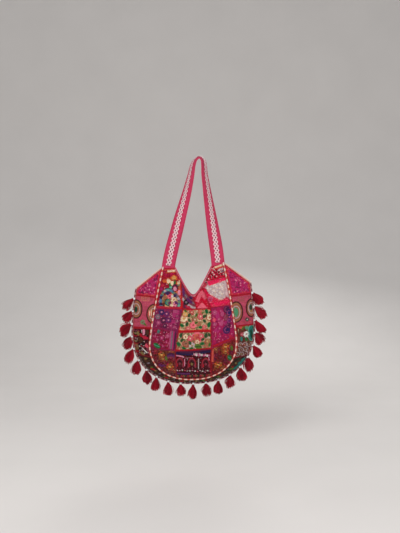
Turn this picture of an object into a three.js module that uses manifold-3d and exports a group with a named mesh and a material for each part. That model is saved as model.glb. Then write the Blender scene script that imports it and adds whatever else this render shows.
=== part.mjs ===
// Patchwork shoulder bag, hanging by its strap.
// Two pillowed faces of pieced cloth patches meet at a corded outer seam, which carries a row of yarn tassels.
// Each face has a centre panel inside a corded trim and a band of patches outside it; the mouth is a V neckline.
// Millimetres, +Z up, the front faces -Y. The origin is where the strap's top bend rests on its hook.

import * as THREE from 'three';
import Module from 'manifold-3d';
import { mergeVertices } from 'three/addons/utils/BufferGeometryUtils.js';

// On the cloth, "across" is measured right from the bag's middle line and "below" down from the hang point.
const WALL = 2.4;
const PUFF = 1.6;
const SEAM_GAP = 0.5;
const BAG_SHIFT = -18;
const LEAN = 0.03;

// The strap draws the right shoulder up a little.
const RISE = { height: 9, from: 50, to: 112, top: 440, foot: 560 };

// Outlines of one face.
const PEAK = { top: 372, inner: 60, outer: 108 };
const CORNER = { half: 192, below: 441 };
const SEAM = {
  topHalf: CORNER.half, top: CORNER.below, half: 205, widest: 584, foot: 766, flare: 1.7, round: 2.3,
};
const TRIM = {
  topHalf: 103, top: 375, half: 145, widest: 629, foot: 752, flare: 1.25, round: 2.2, width: 5, lift: 1.2,
};
const NECK = { half: PEAK.inner, top: PEAK.top, foot: 467, bend: 17, binding: 5, lift: 0.8 };

// Depth of one face from the seam plane.
const DEPTH = { rim: 5, belly: 50, fullest: 640, mouthRise: 1.2, footRound: 3, across: 2.6 };

// Cords of the outer edge.
const PIPING = { width: 4.4, depth: 6, gap: 0.3 };
const CORD = { width: 5, depth: 6.5 };

// Strap, laid along a path from the left peak over the hook to the right peak.
const STRAP = {
  width: 45, thick: 3.4, bow: 3.5, bowAtHook: 2.5, tucked: 20, turnAtHook: 18, turnEase: 1.1, lead: 5,
  stations: 34, closeness: 1.5, braidWidth: 20, braidThick: 1.1, braidGap: 0.35, braidFrom: 1,
};

// Tassels, a row along the edge cord. Each droops from the seam's outward way toward straight down by up to
// droop degrees, and they sway in turn to the front and to the back, so that neighbours pass beside each other.
const TASSEL = {
  count: 21, start: 0.036, gap: 0.3, bead: 2.4, head: 5.2, headAt: 7, length: 43, belly: 7.2, bellyAt: 20,
  lock: 6, lockTip: 5.2, locks: 5, droop: 50, swing: 2.5, sway: 12,
};

const lerp = THREE.MathUtils.lerp;
const clamp = THREE.MathUtils.clamp;
const radians = THREE.MathUtils.degToRad;
const smoothstep = THREE.MathUtils.smoothstep;

// The U-shaped line of the seam or of the trim, from the left top round the foot to the right top.
class PanelLine extends THREE.Curve {
  constructor(size, grow = 0) {
    super();
    this.arcLengthDivisions = 800;
    this.size = { ...size, topHalf: size.topHalf + grow, half: size.half + grow, foot: size.foot + grow };
  }

  halfAt(below) {
    const { topHalf, top, half, widest, foot, flare, round } = this.size;
    if (below <= widest) {
      const rise = Math.min(1, (widest - below) / (widest - top));
      return half - (half - topHalf) * rise ** flare;
    }
    const drop = Math.min(1, (below - widest) / (foot - widest));
    return half * (1 - drop ** round) ** (1 / round);
  }

  getPoint(t, target = new THREE.Vector2()) {
    const { top, half, widest, foot, round } = this.size;
    const side = t < 0.5 ? -1 : 1;
    const down = 1 - Math.abs(2 * t - 1);
    if (down <= 0.5) {
      const below = lerp(top, widest, down * 2);
      return target.set(side * this.halfAt(below), below);
    }
    const turn = (down - 0.5) * Math.PI;
    const out = Math.max(0, Math.cos(turn)) ** (2 / round);
    return target.set(side * half * out, widest + (foot - widest) * Math.sin(turn) ** (2 / round));
  }
}

// The V neckline, from the left peak to the right peak, set back into the cloth by "inset".
class NeckLine extends THREE.Curve {
  constructor(inset = 0) {
    super();
    this.arcLengthDivisions = 400;
    this.inset = inset;
  }

  getPoint(t, target = new THREE.Vector2()) {
    const across = lerp(-NECK.half, NECK.half, t);
    const reach = Math.hypot(across, NECK.bend);
    const drop = (NECK.foot - NECK.top) / (Math.hypot(NECK.half, NECK.bend) - NECK.bend);
    const below = NECK.foot - drop * (reach - NECK.bend);
    const slope = -drop * across / reach;
    const length = Math.hypot(1, slope);
    return target.set(across - slope / length * this.inset, below + this.inset / length);
  }
}

const seam = new PanelLine(SEAM);
const trimInside = new PanelLine(TRIM, -TRIM.width / 2 - SEAM_GAP / 2);
const trimOutside = new PanelLine(TRIM, TRIM.width / 2 + SEAM_GAP / 2);
const neckEdge = new NeckLine(NECK.binding + SEAM_GAP / 2);

// The shoulder is the straight edge from the trim's top end to the corner.
const shoulderTop = trimOutside.getPoint(1);

function seamHalfAt(below) {
  if (below >= CORNER.below) return Math.max(seam.halfAt(below), 1e-3);
  return lerp(shoulderTop.x, CORNER.half, (below - shoulderTop.y) / (CORNER.below - shoulderTop.y));
}

function bellyAt(below) {
  if (below <= DEPTH.fullest) {
    const rise = clamp((below - PEAK.top) / (DEPTH.fullest - PEAK.top), 0, 1);
    return DEPTH.belly * Math.sin(rise * Math.PI / 2) ** DEPTH.mouthRise;
  }
  const drop = clamp((below - DEPTH.fullest) / (SEAM.foot - DEPTH.fullest), 0, 1);
  return DEPTH.belly * (1 - drop ** DEPTH.footRound);
}

function depthAt(across, below) {
  const share = Math.min(1, Math.abs(across) / seamHalfAt(below));
  return DEPTH.rim + bellyAt(below) * (1 - share ** DEPTH.across);
}

// The wall measured along Y, so that it keeps its real thickness on the slopes.
function wallAt(across, below) {
  const step = 0.5;
  const slopeX = (depthAt(across + step, below) - depthAt(across - step, below)) / (2 * step);
  const slopeZ = (depthAt(across, below + step) - depthAt(across, below - step)) / (2 * step);
  return WALL * Math.min(2, Math.hypot(1, slopeX, slopeZ));
}

function place(across, below, y) {
  const pull = smoothstep(across, RISE.from, RISE.to) * (1 - smoothstep(below, RISE.top, RISE.foot));
  return new THREE.Vector3(BAG_SHIFT + across, y, -below + LEAN * across + RISE.height * pull);
}

// A closed solid from flat lists of points and triangles, turned so that its faces point out.
function solid(points, triangles) {
  let volume = 0;
  for (const [a, b, c] of triangles) {
    volume += points[a].dot(new THREE.Vector3().crossVectors(points[b], points[c]));
  }
  const index = triangles.flatMap(([a, b, c]) => (volume > 0 ? [a, b, c] : [a, c, b]));
  const geometry = new THREE.BufferGeometry().setFromPoints(points);
  geometry.setIndex(index);
  geometry.computeVertexNormals();
  return geometry;
}

// A solid between two grids of points, the outer and the inner face of a wall.
function wallSolid(outer, inner) {
  const rows = outer.length;
  const columns = outer[0].length;
  const points = [...outer.flat(), ...inner.flat()];
  const back = rows * columns;
  const at = (row, column) => row * columns + column;
  const triangles = [];
  const quad = (a, b, c, d) => triangles.push([a, b, c], [a, c, d]);
  for (let row = 0; row < rows - 1; row += 1) {
    for (let column = 0; column < columns - 1; column += 1) {
      const ring = [at(row, column), at(row, column + 1), at(row + 1, column + 1), at(row + 1, column)];
      quad(...ring);
      quad(...ring.map((corner) => corner + back).reverse());
    }
  }
  const rim = [];
  for (let column = 0; column < columns; column += 1) rim.push(at(0, column));
  for (let row = 1; row < rows; row += 1) rim.push(at(row, columns - 1));
  for (let column = columns - 2; column >= 0; column -= 1) rim.push(at(rows - 1, column));
  for (let row = rows - 2; row > 0; row -= 1) rim.push(at(row, 0));
  rim.forEach((here, k) => {
    const next = rim[(k + 1) % rim.length];
    quad(next, here, here + back, next + back);
  });
  return solid(points, triangles);
}

// A solid through a row of closed sections with a flat cap at each end.
function sweptSolid(sections) {
  const count = sections[0].length;
  const points = sections.flat();
  const triangles = [];
  for (let s = 0; s < sections.length - 1; s += 1) {
    for (let k = 0; k < count; k += 1) {
      const a = s * count + k;
      const b = s * count + (k + 1) % count;
      if (k < count / 2) triangles.push([a, b, b + count], [a, b + count, a + count]);
      else triangles.push([a, b, a + count], [b, b + count, a + count]);
    }
  }
  const last = (sections.length - 1) * count;
  for (let k = 0; k < count / 2 - 1; k += 1) {
    const far = count - 1 - k;
    triangles.push([k, far, far - 1], [k, far - 1, k + 1]);
    triangles.push([last + k, last + far - 1, last + far], [last + k, last + k + 1, last + far - 1]);
  }
  return solid(points, triangles.filter(([a, b, c]) => a !== b && b !== c && c !== a));
}

function nearestStation(line, point) {
  let best = 0;
  let shortest = Infinity;
  for (let k = 0; k <= 1200; k += 1) {
    const distance = line.getPointAt(k / 1200).distanceTo(point);
    if (distance < shortest) {
      shortest = distance;
      best = k / 1200;
    }
  }
  return best;
}

// The four edges of a patch: straight between its corners, or along the line that the edge follows.
function patchEdges(corners, follows) {
  const sides = { top: [0, 1], right: [1, 2], bottom: [3, 2], left: [0, 3] };
  const knots = corners.map(([across, below]) => new THREE.Vector2(across, below));
  for (const [side, line] of Object.entries(follows)) {
    for (const k of sides[side]) knots[k].copy(line.getPointAt(nearestStation(line, knots[k])));
  }
  const edges = {};
  for (const [side, [from, to]] of Object.entries(sides)) {
    const line = follows[side];
    if (line) {
      const first = nearestStation(line, knots[from]);
      const last = nearestStation(line, knots[to]);
      edges[side] = (t) => line.getPointAt(lerp(first, last, t));
    } else {
      edges[side] = (t) => knots[from].clone().lerp(knots[to], t);
    }
  }
  return edges;
}

// A point inside the four edges, blended from all of them.
function blend(edges, u, v) {
  const { top, bottom, left, right } = edges;
  const mix = (key) => {
    const rows = lerp(top(u)[key], bottom(u)[key], v);
    const columns = lerp(left(v)[key], right(v)[key], u);
    const corners = lerp(
      lerp(top(0)[key], top(1)[key], u),
      lerp(bottom(0)[key], bottom(1)[key], u),
      v,
    );
    return rows + columns - corners;
  };
  return new THREE.Vector2(mix('x'), mix('y'));
}

// A cloth wall inside four edges; "face" is -1 on the front and 1 on the back.
function clothPiece(edges, { face, across, down, puff = PUFF, lift = 0, clear = SEAM_GAP / 2 }) {
  const outer = [];
  const inner = [];
  for (let row = 0; row <= down; row += 1) {
    outer.push([]);
    inner.push([]);
    for (let column = 0; column <= across; column += 1) {
      const u = column / across;
      const v = row / down;
      const insetU = Math.min(0.2, clear / edges.left(v).distanceTo(edges.right(v)));
      const insetV = Math.min(0.2, clear / edges.top(u).distanceTo(edges.bottom(u)));
      const spot = blend(edges, lerp(insetU, 1 - insetU, u), lerp(insetV, 1 - insetV, v));
      const depth = depthAt(spot.x, spot.y);
      const rise = lift + puff * (1 - (2 * u - 1) ** 4) * (1 - (2 * v - 1) ** 4);
      const back = Math.max(SEAM_GAP, depth - wallAt(spot.x, spot.y));
      outer[row].push(place(spot.x, spot.y, face * (depth + rise)));
      inner[row].push(place(spot.x, spot.y, face * back));
    }
  }
  return wallSolid(outer, inner);
}

// A cloth strip between two lines, cut in even steps along them.
function clothStrip(lineIn, lineOut, options) {
  const edges = {
    top: (t) => lineIn.getPointAt(t),
    bottom: (t) => lineOut.getPointAt(t),
    left: (t) => lineIn.getPointAt(0).lerp(lineOut.getPointAt(0), t),
    right: (t) => lineIn.getPointAt(1).lerp(lineOut.getPointAt(1), t),
  };
  return clothPiece(edges, { down: 1, puff: 0, clear: 0, ...options });
}

// A cord in the seam plane, six-sided, between two lines.
function edgeCord(lineIn, lineOut, steps, depth) {
  const sections = [];
  for (let k = 0; k <= steps; k += 1) {
    const near = lineIn(k / steps);
    const far = lineOut(k / steps);
    const ring = [[0, -0.8], [0.5, -1], [1, -0.7], [1, 0.7], [0.5, 1], [0, 0.8]];
    sections.push(ring.map(([out, side]) => {
      const spot = near.clone().lerp(far, out);
      return place(spot.x, spot.y, side * depth / 2);
    }));
  }
  return sweptSolid(sections);
}

const bag = new THREE.Group();
bag.name = 'patchwork_bag';

function add(name, geometry, color, roughness = 0.85, metalness = 0) {
  const mesh = new THREE.Mesh(geometry, new THREE.MeshStandardMaterial({ color, roughness, metalness }));
  mesh.name = name;
  bag.add(mesh);
}

// Corners shared by the patches of the front's centre panel, each [across, below].
const KNOT = {
  leftTop: [-100, 375], leftNeckTop: [-66, 375], leftNeck: [-41, 424], leftHigh: [-106, 404],
  leftUpper: [-130, 508], leftMiddle: [-140, 569], leftLower: [-145, 643], leftFoot: [-118, 711],
  rightTop: [100, 375], rightNeckTop: [66, 375], rightNeckHigh: [42, 423], rightNeck: [30, 442],
  rightHigh: [112, 420], rightShoulder: [126, 489], rightUpper: [130, 508], rightLower: [145, 616],
  rightFoot: [120, 709], neckFoot: [-1, 472],
  upperLeft: [-36, 514], upperMiddle: [10, 513.5], upperRight: [60, 513],
  middleLeft: [-50, 587], middleRight: [61.1, 587],
  lowerLeft: [-60, 650], lowerRight: [62, 646], footLeft: [-58, 745], footRight: [60, 745],
};

const IN = trimInside;
const CENTRE_PATCHES = [
  { name: 'front_peak_left', corners: ['leftTop', 'leftNeckTop', 'leftNeck', 'leftHigh'],
    follows: { left: IN, right: neckEdge }, cells: [3, 4], color: 0x8e1f38 },
  { name: 'front_flower_patch', corners: ['leftHigh', 'leftNeck', 'upperLeft', 'leftUpper'],
    follows: { left: IN }, cells: [5, 5], color: 0x7c2a44 },
  { name: 'front_neck_left', corners: ['leftNeck', 'neckFoot', 'upperMiddle', 'upperLeft'],
    follows: { top: neckEdge }, cells: [5, 4], color: 0x6a4a70 },
  { name: 'front_chevron_patch', corners: ['neckFoot', 'rightNeck', 'upperRight', 'upperMiddle'],
    follows: { top: neckEdge }, cells: [5, 4], color: 0xb41f45 },
  { name: 'front_peak_right', corners: ['rightNeckTop', 'rightTop', 'rightHigh', 'rightNeckHigh'],
    follows: { left: neckEdge, right: IN }, cells: [3, 4], color: 0xa8264a },
  { name: 'front_pale_patch', corners: ['rightNeckHigh', 'rightHigh', 'rightShoulder', 'rightNeck'],
    follows: { left: neckEdge, right: IN }, cells: [4, 4], color: 0xc8bcc4 },
  { name: 'front_rosette_patch', corners: ['rightNeck', 'rightShoulder', 'rightUpper', 'upperRight'],
    follows: { right: IN }, cells: [4, 4], color: 0xb4305a },
  { name: 'front_violet_patch', corners: ['leftUpper', 'upperLeft', 'middleLeft', 'leftMiddle'],
    follows: { left: IN }, cells: [5, 4], color: 0x7a3a86 },
  { name: 'front_magenta_patch', corners: ['leftMiddle', 'middleLeft', 'lowerLeft', 'leftLower'],
    follows: { left: IN }, cells: [5, 4], color: 0x9a2f78 },
  { name: 'front_garden_upper', corners: ['upperLeft', 'upperRight', 'middleRight', 'middleLeft'],
    follows: {}, cells: [5, 4], color: 0xb7a07e },
  { name: 'front_garden_lower', corners: ['middleLeft', 'middleRight', 'lowerRight', 'lowerLeft'],
    follows: {}, cells: [5, 4], color: 0xb2997c },
  { name: 'front_indigo_patch', corners: ['upperRight', 'rightUpper', 'rightLower', 'lowerRight'],
    follows: { right: IN }, cells: [5, 5], color: 0x96307c },
  { name: 'front_mauve_left', corners: ['leftLower', 'lowerLeft', 'footLeft', 'leftFoot'],
    follows: { left: IN, bottom: IN }, cells: [5, 5], color: 0x86506e },
  { name: 'front_arch_patch', corners: ['lowerLeft', 'lowerRight', 'footRight', 'footLeft'],
    follows: { bottom: IN }, cells: [6, 5], color: 0x4c1830 },
  { name: 'front_mauve_right', corners: ['lowerRight', 'rightLower', 'rightFoot', 'footRight'],
    follows: { right: IN, bottom: IN }, cells: [5, 5], color: 0x8a526a },
];

CENTRE_PATCHES.forEach(({ name, corners, follows, cells, color }) => {
  const edges = patchEdges(corners.map((knot) => KNOT[knot]), follows);
  add(name, clothPiece(edges, { face: -1, across: cells[0], down: cells[1] }), color);
});

// Patches of the band outside the trim: where each ends on the seam and on the trim, measured below.
const OUT = trimOutside;
const BAND_PATCHES = [
  { name: 'band_corner_left', side: -1, seamTo: 462, trimTo: 472, cells: [5, 5], color: 0x6c3a72 },
  { name: 'band_eye_left', side: -1, seamFrom: 462, trimFrom: 472, seamTo: 574, trimTo: 576,
    cells: [4, 5], color: 0x8c5a78 },
  { name: 'band_dark_left', side: -1, seamFrom: 574, trimFrom: 576, seamTo: 664, trimTo: 670,
    cells: [4, 5], color: 0x3c1c2c },
  { name: 'band_lower_left', side: -1, seamFrom: 664, trimFrom: 670, cells: [3, 9], color: 0x6e6a58 },
  { name: 'band_corner_right', side: 1, seamTo: 476, trimTo: 482, cells: [5, 5], color: 0x6c3a72 },
  { name: 'band_eye_right', side: 1, seamFrom: 476, trimFrom: 482, seamTo: 576, trimTo: 579,
    cells: [4, 5], color: 0x8c5a78 },
  { name: 'band_teal_right', side: 1, seamFrom: 576, trimFrom: 579, seamTo: 676, trimTo: 682,
    cells: [4, 5], color: 0x6f8a86 },
  { name: 'band_lower_right', side: 1, seamFrom: 676, trimFrom: 682, cells: [3, 9], color: 0x726c5c },
];

// A band patch runs from the trim (its left edge) to the seam (its right edge), from its top line to its foot line.
function bandPatch({ side, seamFrom, trimFrom, seamTo, trimTo }) {
  const onSeam = (below) => nearestStation(seam, new THREE.Vector2(side * seam.halfAt(below), below));
  const onTrim = (below) => nearestStation(OUT, new THREE.Vector2(side * OUT.halfAt(below), below));
  const top = side < 0 ? 0 : 1;
  const foot = 0.5;
  const seamFirst = seamFrom ? onSeam(seamFrom) : top;
  const trimFirst = trimFrom ? onTrim(trimFrom) : top;
  const seamLast = seamTo ? onSeam(seamTo) : foot;
  const trimLast = trimTo ? onTrim(trimTo) : foot;
  const inner = (t) => OUT.getPointAt(lerp(trimFirst, trimLast, t));
  const outer = (t) => seam.getPointAt(lerp(seamFirst, seamLast, t));
  return {
    left: inner,
    right: outer,
    top: (t) => inner(0).lerp(outer(0), t),
    bottom: (t) => inner(1).lerp(outer(1), t),
  };
}

BAND_PATCHES.forEach((patch) => {
  const [across, down] = patch.cells;
  add(patch.name, clothPiece(bandPatch(patch), { face: -1, across, down }), patch.color);
});

// The back: four plain pieces inside the trim and a plain band on each side of it.
const BACK_KNOT = {
  leftTop: [-100, 375], leftNeckTop: [-66, 375], rightTop: [100, 375], rightNeckTop: [66, 375],
  neckFoot: [0, 472], leftUpper: [-124, 474], rightUpper: [124, 474],
  leftLower: [-145, 620], rightLower: [145, 620], leftFoot: [-104, 722], rightFoot: [104, 722],
};
const BACK_PATCHES = [
  { name: 'back_peak_left', corners: ['leftTop', 'leftNeckTop', 'neckFoot', 'leftUpper'],
    follows: { left: IN, right: neckEdge }, cells: [4, 7] },
  { name: 'back_peak_right', corners: ['rightNeckTop', 'rightTop', 'rightUpper', 'neckFoot'],
    follows: { left: neckEdge, right: IN }, cells: [4, 7] },
  { name: 'back_panel', corners: ['leftUpper', 'rightUpper', 'rightLower', 'leftLower'],
    follows: { left: IN, right: IN }, cells: [8, 5] },
  { name: 'back_base', corners: ['leftLower', 'rightLower', 'rightFoot', 'leftFoot'],
    follows: { left: IN, right: IN, bottom: IN }, cells: [8, 6] },
];

BACK_PATCHES.forEach(({ name, corners, follows, cells }) => {
  const edges = patchEdges(corners.map((knot) => BACK_KNOT[knot]), follows);
  add(name, clothPiece(edges, { face: 1, across: cells[0], down: cells[1] }), 0x9c2444);
});

[['back_side_left', -1], ['back_side_right', 1]].forEach(([name, side]) => {
  add(name, clothPiece(bandPatch({ side }), { face: 1, across: 3, down: 23 }), 0x6c3a62);
});

// Trim round each centre panel and binding of each neckline.
[['front', -1], ['back', 1]].forEach(([where, face]) => {
  const half = TRIM.width / 2 - SEAM_GAP / 2;
  const trim = clothStrip(new PanelLine(TRIM, -half), new PanelLine(TRIM, half), {
    face, across: 44, lift: TRIM.lift,
  });
  add(`${where}_trim`, trim, 0xa51f3c, 0.7);
  const binding = clothStrip(new NeckLine(0), new NeckLine(NECK.binding - SEAM_GAP / 2), {
    face, across: 16, lift: NECK.lift,
  });
  add(`neck_binding_${where}`, binding, 0xc8647e, 0.8);
});

// Piping of the closed diagonal edges, from below each peak to the corner.
[['left', -1], ['right', 1]].forEach(([where, side]) => {
  const from = new THREE.Vector2(side * shoulderTop.x, shoulderTop.y);
  const to = new THREE.Vector2(side * CORNER.half, CORNER.below);
  const along = to.clone().sub(from).normalize();
  const out = new THREE.Vector2(along.y * side, -along.x * side);
  const first = from.clone().addScaledVector(along, 2);
  const last = to.clone().addScaledVector(along, -1);
  const near = (t) => first.clone().lerp(last, t).addScaledVector(out, PIPING.gap);
  const far = (t) => first.clone().lerp(last, t).addScaledVector(out, PIPING.gap + PIPING.width);
  add(`shoulder_piping_${where}`, edgeCord(near, far, 4, PIPING.depth), 0xe2cdb8, 0.7);
});

// Cord of the outer seam, from corner to corner round the foot.
const cordInside = new PanelLine(SEAM, SEAM_GAP);
const cordOutside = new PanelLine(SEAM, SEAM_GAP + CORD.width);
const cordGeometry = edgeCord(
  (t) => cordInside.getPointAt(t),
  (t) => cordOutside.getPointAt(t),
  36,
  CORD.depth,
);
add('edge_cord', cordGeometry, 0x7a1f34, 0.8);

// Strap path: tucked between the peaks, up the left leg, over the hook and down the right leg.
function strapBase(side, below) {
  const middle = (PEAK.inner + PEAK.outer) / 2;
  return place(side * middle, below, 0);
}

// Where the strap's middle line passes on each leg, from the hook down.
const LEG = [
  { drop: 9, left: -13, right: 17 },
  { drop: 30, left: -22, right: 21 },
  { drop: 57, left: -27.5, right: 23 },
  { drop: 110, left: -40, right: 31 },
  { drop: 231, left: -71, right: 49 },
];
const legPoint = ({ drop, left, right }, side) => new THREE.Vector3(side < 0 ? left : right, 0, -drop);
const strapPath = new THREE.CatmullRomCurve3([
  strapBase(-1, PEAK.top + STRAP.tucked),
  strapBase(-1, PEAK.top - 4),
  ...[...LEG].reverse().map((row) => legPoint(row, -1)),
  new THREE.Vector3(3, 0, STRAP.thick / 2),
  ...LEG.map((row) => legPoint(row, 1)),
  strapBase(1, PEAK.top - 4),
  strapBase(1, PEAK.top + STRAP.tucked),
], false, 'centripetal');
strapPath.arcLengthDivisions = 600;

// Section axes at a station: the face turns from the front at the peaks to outward at the hook, the left leg
// a little less than the right one, and the band bows most where it is folded over the hook.
function strapFrame(station) {
  const tangent = strapPath.getTangentAt(station);
  const outward = new THREE.Vector3(-tangent.z, 0, tangent.x);
  const fromHook = Math.abs(2 * station - 1);
  const share = clamp(fromHook / 0.86, 0, 1);
  const lead = STRAP.lead * Math.sin(share * Math.PI) * Math.sign(0.5 - station);
  const turn = radians(90 * share ** STRAP.turnEase + STRAP.turnAtHook * (1 - share) + lead);
  const face = outward.multiplyScalar(Math.cos(turn)).add(new THREE.Vector3(0, -Math.sin(turn), 0));
  const wide = new THREE.Vector3().crossVectors(tangent, face).normalize();
  const bowed = lerp(STRAP.bowAtHook, STRAP.bow, clamp(fromHook / 0.35, 0, 1));
  const bow = bowed * clamp((0.9 - fromHook) / 0.25, 0, 1);
  return { centre: strapPath.getPointAt(station), face, wide, bow };
}

// A section of a band on the strap between two heights above the strap's middle, bowed across its width.
function strapSection(station, width, low, high, breaks) {
  const { centre, face, wide, bow } = strapFrame(station);
  const spot = (share, height) => {
    const bowed = height - bow * (share * width / STRAP.width) ** 2;
    return centre.clone().addScaledVector(wide, share * width / 2).addScaledVector(face, bowed);
  };
  return [...breaks.map((s) => spot(s, high)), ...[...breaks].reverse().map((s) => spot(s, low))];
}

// A band along the strap, cut closer together near the hook; "from" leaves out that many cuts at each end.
function strapBand(from, width, low, high, breaks) {
  const sections = [];
  for (let k = from; k <= STRAP.stations - from; k += 1) {
    const fromHook = 2 * k / STRAP.stations - 1;
    const station = 0.5 + 0.5 * Math.sign(fromHook) * Math.abs(fromHook) ** STRAP.closeness;
    sections.push(strapSection(station, width, low, high, breaks));
  }
  return sweptSolid(sections);
}

const halfThick = STRAP.thick / 2;
const braidShare = STRAP.braidWidth / STRAP.width;
const strapBreaks = [-1, -braidShare, 0, braidShare, 1];
add('strap', strapBand(0, STRAP.width, -halfThick, halfThick, strapBreaks), 0xb8305c);
const braidLow = halfThick + STRAP.braidGap;
const braidHigh = braidLow + STRAP.braidThick;
const braid = strapBand(STRAP.braidFrom, STRAP.braidWidth, braidLow, braidHigh, [-1, 0, 1]);
add('strap_braid', braid, 0xb9b4ba, 0.6);

// One tassel along +Z from its root: a root bead, a bound head and a skirt of locks, fused.
const wasm = await Module();
wasm.setup();

function manifoldOf(geometry) {
  const bare = new THREE.BufferGeometry();
  bare.setAttribute('position', geometry.getAttribute('position').clone());
  if (geometry.index) bare.setIndex(geometry.index.clone());
  const merged = mergeVertices(bare, 1e-4);
  return new wasm.Manifold(new wasm.Mesh({
    numProp: 3,
    vertProperties: new Float32Array(merged.attributes.position.array),
    triVerts: new Uint32Array(merged.index.array),
  }));
}

function tasselGeometry() {
  const { bead, head, headAt, length, belly, bellyAt, lock, lockTip, locks } = TASSEL;
  const profile = [
    [0, 0], [bead, bead], [head, headAt], [0, bellyAt * 0.8],
  ].map(([radius, along]) => new THREE.Vector2(radius, along));
  const core = new THREE.LatheGeometry(profile, 4).rotateX(Math.PI / 2);
  let fused = manifoldOf(core);
  for (let k = 0; k < locks; k += 1) {
    const angle = k / locks * Math.PI * 2 + 0.3;
    const tip = length * (1 - 0.08 * Math.abs(Math.sin(2.3 * k + 1)));
    const rows = [
      { out: 1.6, along: headAt, size: 2.6 },
      { out: belly, along: bellyAt, size: lock },
      { out: belly * 0.96, along: tip, size: lockTip },
    ];
    const sections = rows.map(({ out, along, size }) => [0, 1, 2, 3].map((corner) => {
      const turn = angle + corner * Math.PI / 2;
      const x = out * Math.cos(angle) + size * Math.cos(turn);
      const y = out * Math.sin(angle) + size * Math.sin(turn);
      return new THREE.Vector3(x, y, along);
    }));
    fused = fused.add(manifoldOf(sweptSolid(sections)));
  }
  const mesh = fused.getMesh();
  const geometry = new THREE.BufferGeometry();
  geometry.setAttribute('position', new THREE.BufferAttribute(new Float32Array(mesh.vertProperties), 3));
  geometry.setIndex([...mesh.triVerts]);
  return geometry;
}

const tassel = tasselGeometry();
const rootLine = new PanelLine(SEAM, SEAM_GAP + CORD.width + TASSEL.gap);
for (let k = 0; k < TASSEL.count; k += 1) {
  const station = lerp(TASSEL.start, 1 - TASSEL.start, k / (TASSEL.count - 1));
  const root = rootLine.getPointAt(station);
  const tangent = rootLine.getTangentAt(station);
  const lean = Math.atan2(-tangent.y, tangent.x);
  const drooped = Math.sign(lean) * Math.max(Math.abs(lean) - radians(TASSEL.droop), 0);
  const hang = drooped + radians(TASSEL.swing * Math.sin(2.4 * k));
  const aside = Math.sin(radians(k % 2 ? TASSEL.sway : -TASSEL.sway));
  const away = new THREE.Vector3(Math.sin(hang), aside, -Math.cos(hang)).normalize();
  const turn = new THREE.Quaternion().setFromUnitVectors(new THREE.Vector3(0, 0, 1), away);
  const name = `tassel_${String(k + 1).padStart(2, '0')}`;
  add(name, tassel.clone().rotateZ(k).applyQuaternion(turn), 0xa01c34, 0.9);
  bag.children.at(-1).position.copy(place(root.x, root.y, 0));
}

export default bag;
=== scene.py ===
import math

import bpy
import numpy as np
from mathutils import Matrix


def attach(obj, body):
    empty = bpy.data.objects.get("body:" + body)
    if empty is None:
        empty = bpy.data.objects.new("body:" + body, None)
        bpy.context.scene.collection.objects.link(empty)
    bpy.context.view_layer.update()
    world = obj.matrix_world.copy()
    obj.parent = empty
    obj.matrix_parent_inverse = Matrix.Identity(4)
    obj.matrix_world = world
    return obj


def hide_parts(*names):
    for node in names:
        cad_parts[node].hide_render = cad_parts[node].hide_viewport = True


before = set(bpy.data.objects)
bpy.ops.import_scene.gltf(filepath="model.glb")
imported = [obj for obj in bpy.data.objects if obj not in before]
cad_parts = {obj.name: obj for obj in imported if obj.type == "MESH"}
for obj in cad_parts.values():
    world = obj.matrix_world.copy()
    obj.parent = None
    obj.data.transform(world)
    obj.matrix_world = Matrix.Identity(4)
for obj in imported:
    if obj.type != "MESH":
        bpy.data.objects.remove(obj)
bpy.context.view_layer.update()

# Front centre patches
# Pieces of printed and embroidered cotton over thin batting, sewn edge to edge inside the trim. Each swells
# a little between its seams and puckers along them; a plain maroon lining backs them all.
MM = 0.001
BAG_SHIFT, LEAN = -18.0, 0.03
RISE = dict(height=9.0, start=50.0, end=112.0, top=440.0, foot=560.0)
WALL, SEAM_GAP = 2.4, 0.5
QUILT = dict(puff=1.6, swell=5.0, crease=0.4, ripple=0.4, ripple_pitch=8.5, ripple_reach=7.0, slack=0.18,
             slack_from=9.0)
SEAM = dict(top_half=192.0, top=441.0, half=205.0, widest=584.0, foot=766.0, flare=1.7, round=2.3)
TRIM = dict(top_half=103.0, top=375.0, half=145.0, widest=629.0, foot=752.0, flare=1.25, round=2.2)
NECK = dict(half=60.0, top=372.0, foot=467.0, bend=17.0)
DEPTH = dict(rim=5.0, belly=50.0, fullest=640.0, mouth_rise=1.2, foot_round=3.0, across=2.6)
TRIM_WIDTH, BINDING_WIDTH = 5.0, 5.0
FRONT, BACK = -1.0, 1.0


def evenly(points, count=1601):
    """The same line with its points at even steps along it."""
    run = np.r_[0.0, np.cumsum(np.linalg.norm(np.diff(points, axis=0), axis=1))]
    at = np.linspace(0.0, run[-1], count)
    return np.column_stack([np.interp(at, run, column) for column in points.T])


def panel_line(size, grow=0.0):
    """The U-shaped line of the seam or the trim, from the left top round the foot to the right top."""
    half, foot = size["half"] + grow, size["foot"] + grow
    below = np.linspace(size["top"], size["widest"], 400)
    rise = (size["widest"] - below) / (size["widest"] - size["top"])
    turn = np.linspace(0.0, math.pi / 2, 600)[1:]
    out = np.r_[half - (size["half"] - size["top_half"]) * rise ** size["flare"],
                half * np.cos(turn).clip(0.0) ** (2 / size["round"])]
    down = np.r_[below, size["widest"] + (foot - size["widest"]) * np.sin(turn) ** (2 / size["round"])]
    left = np.column_stack([-out, down])
    return evenly(np.vstack([left, left[-2::-1] * (-1.0, 1.0)]))


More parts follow.
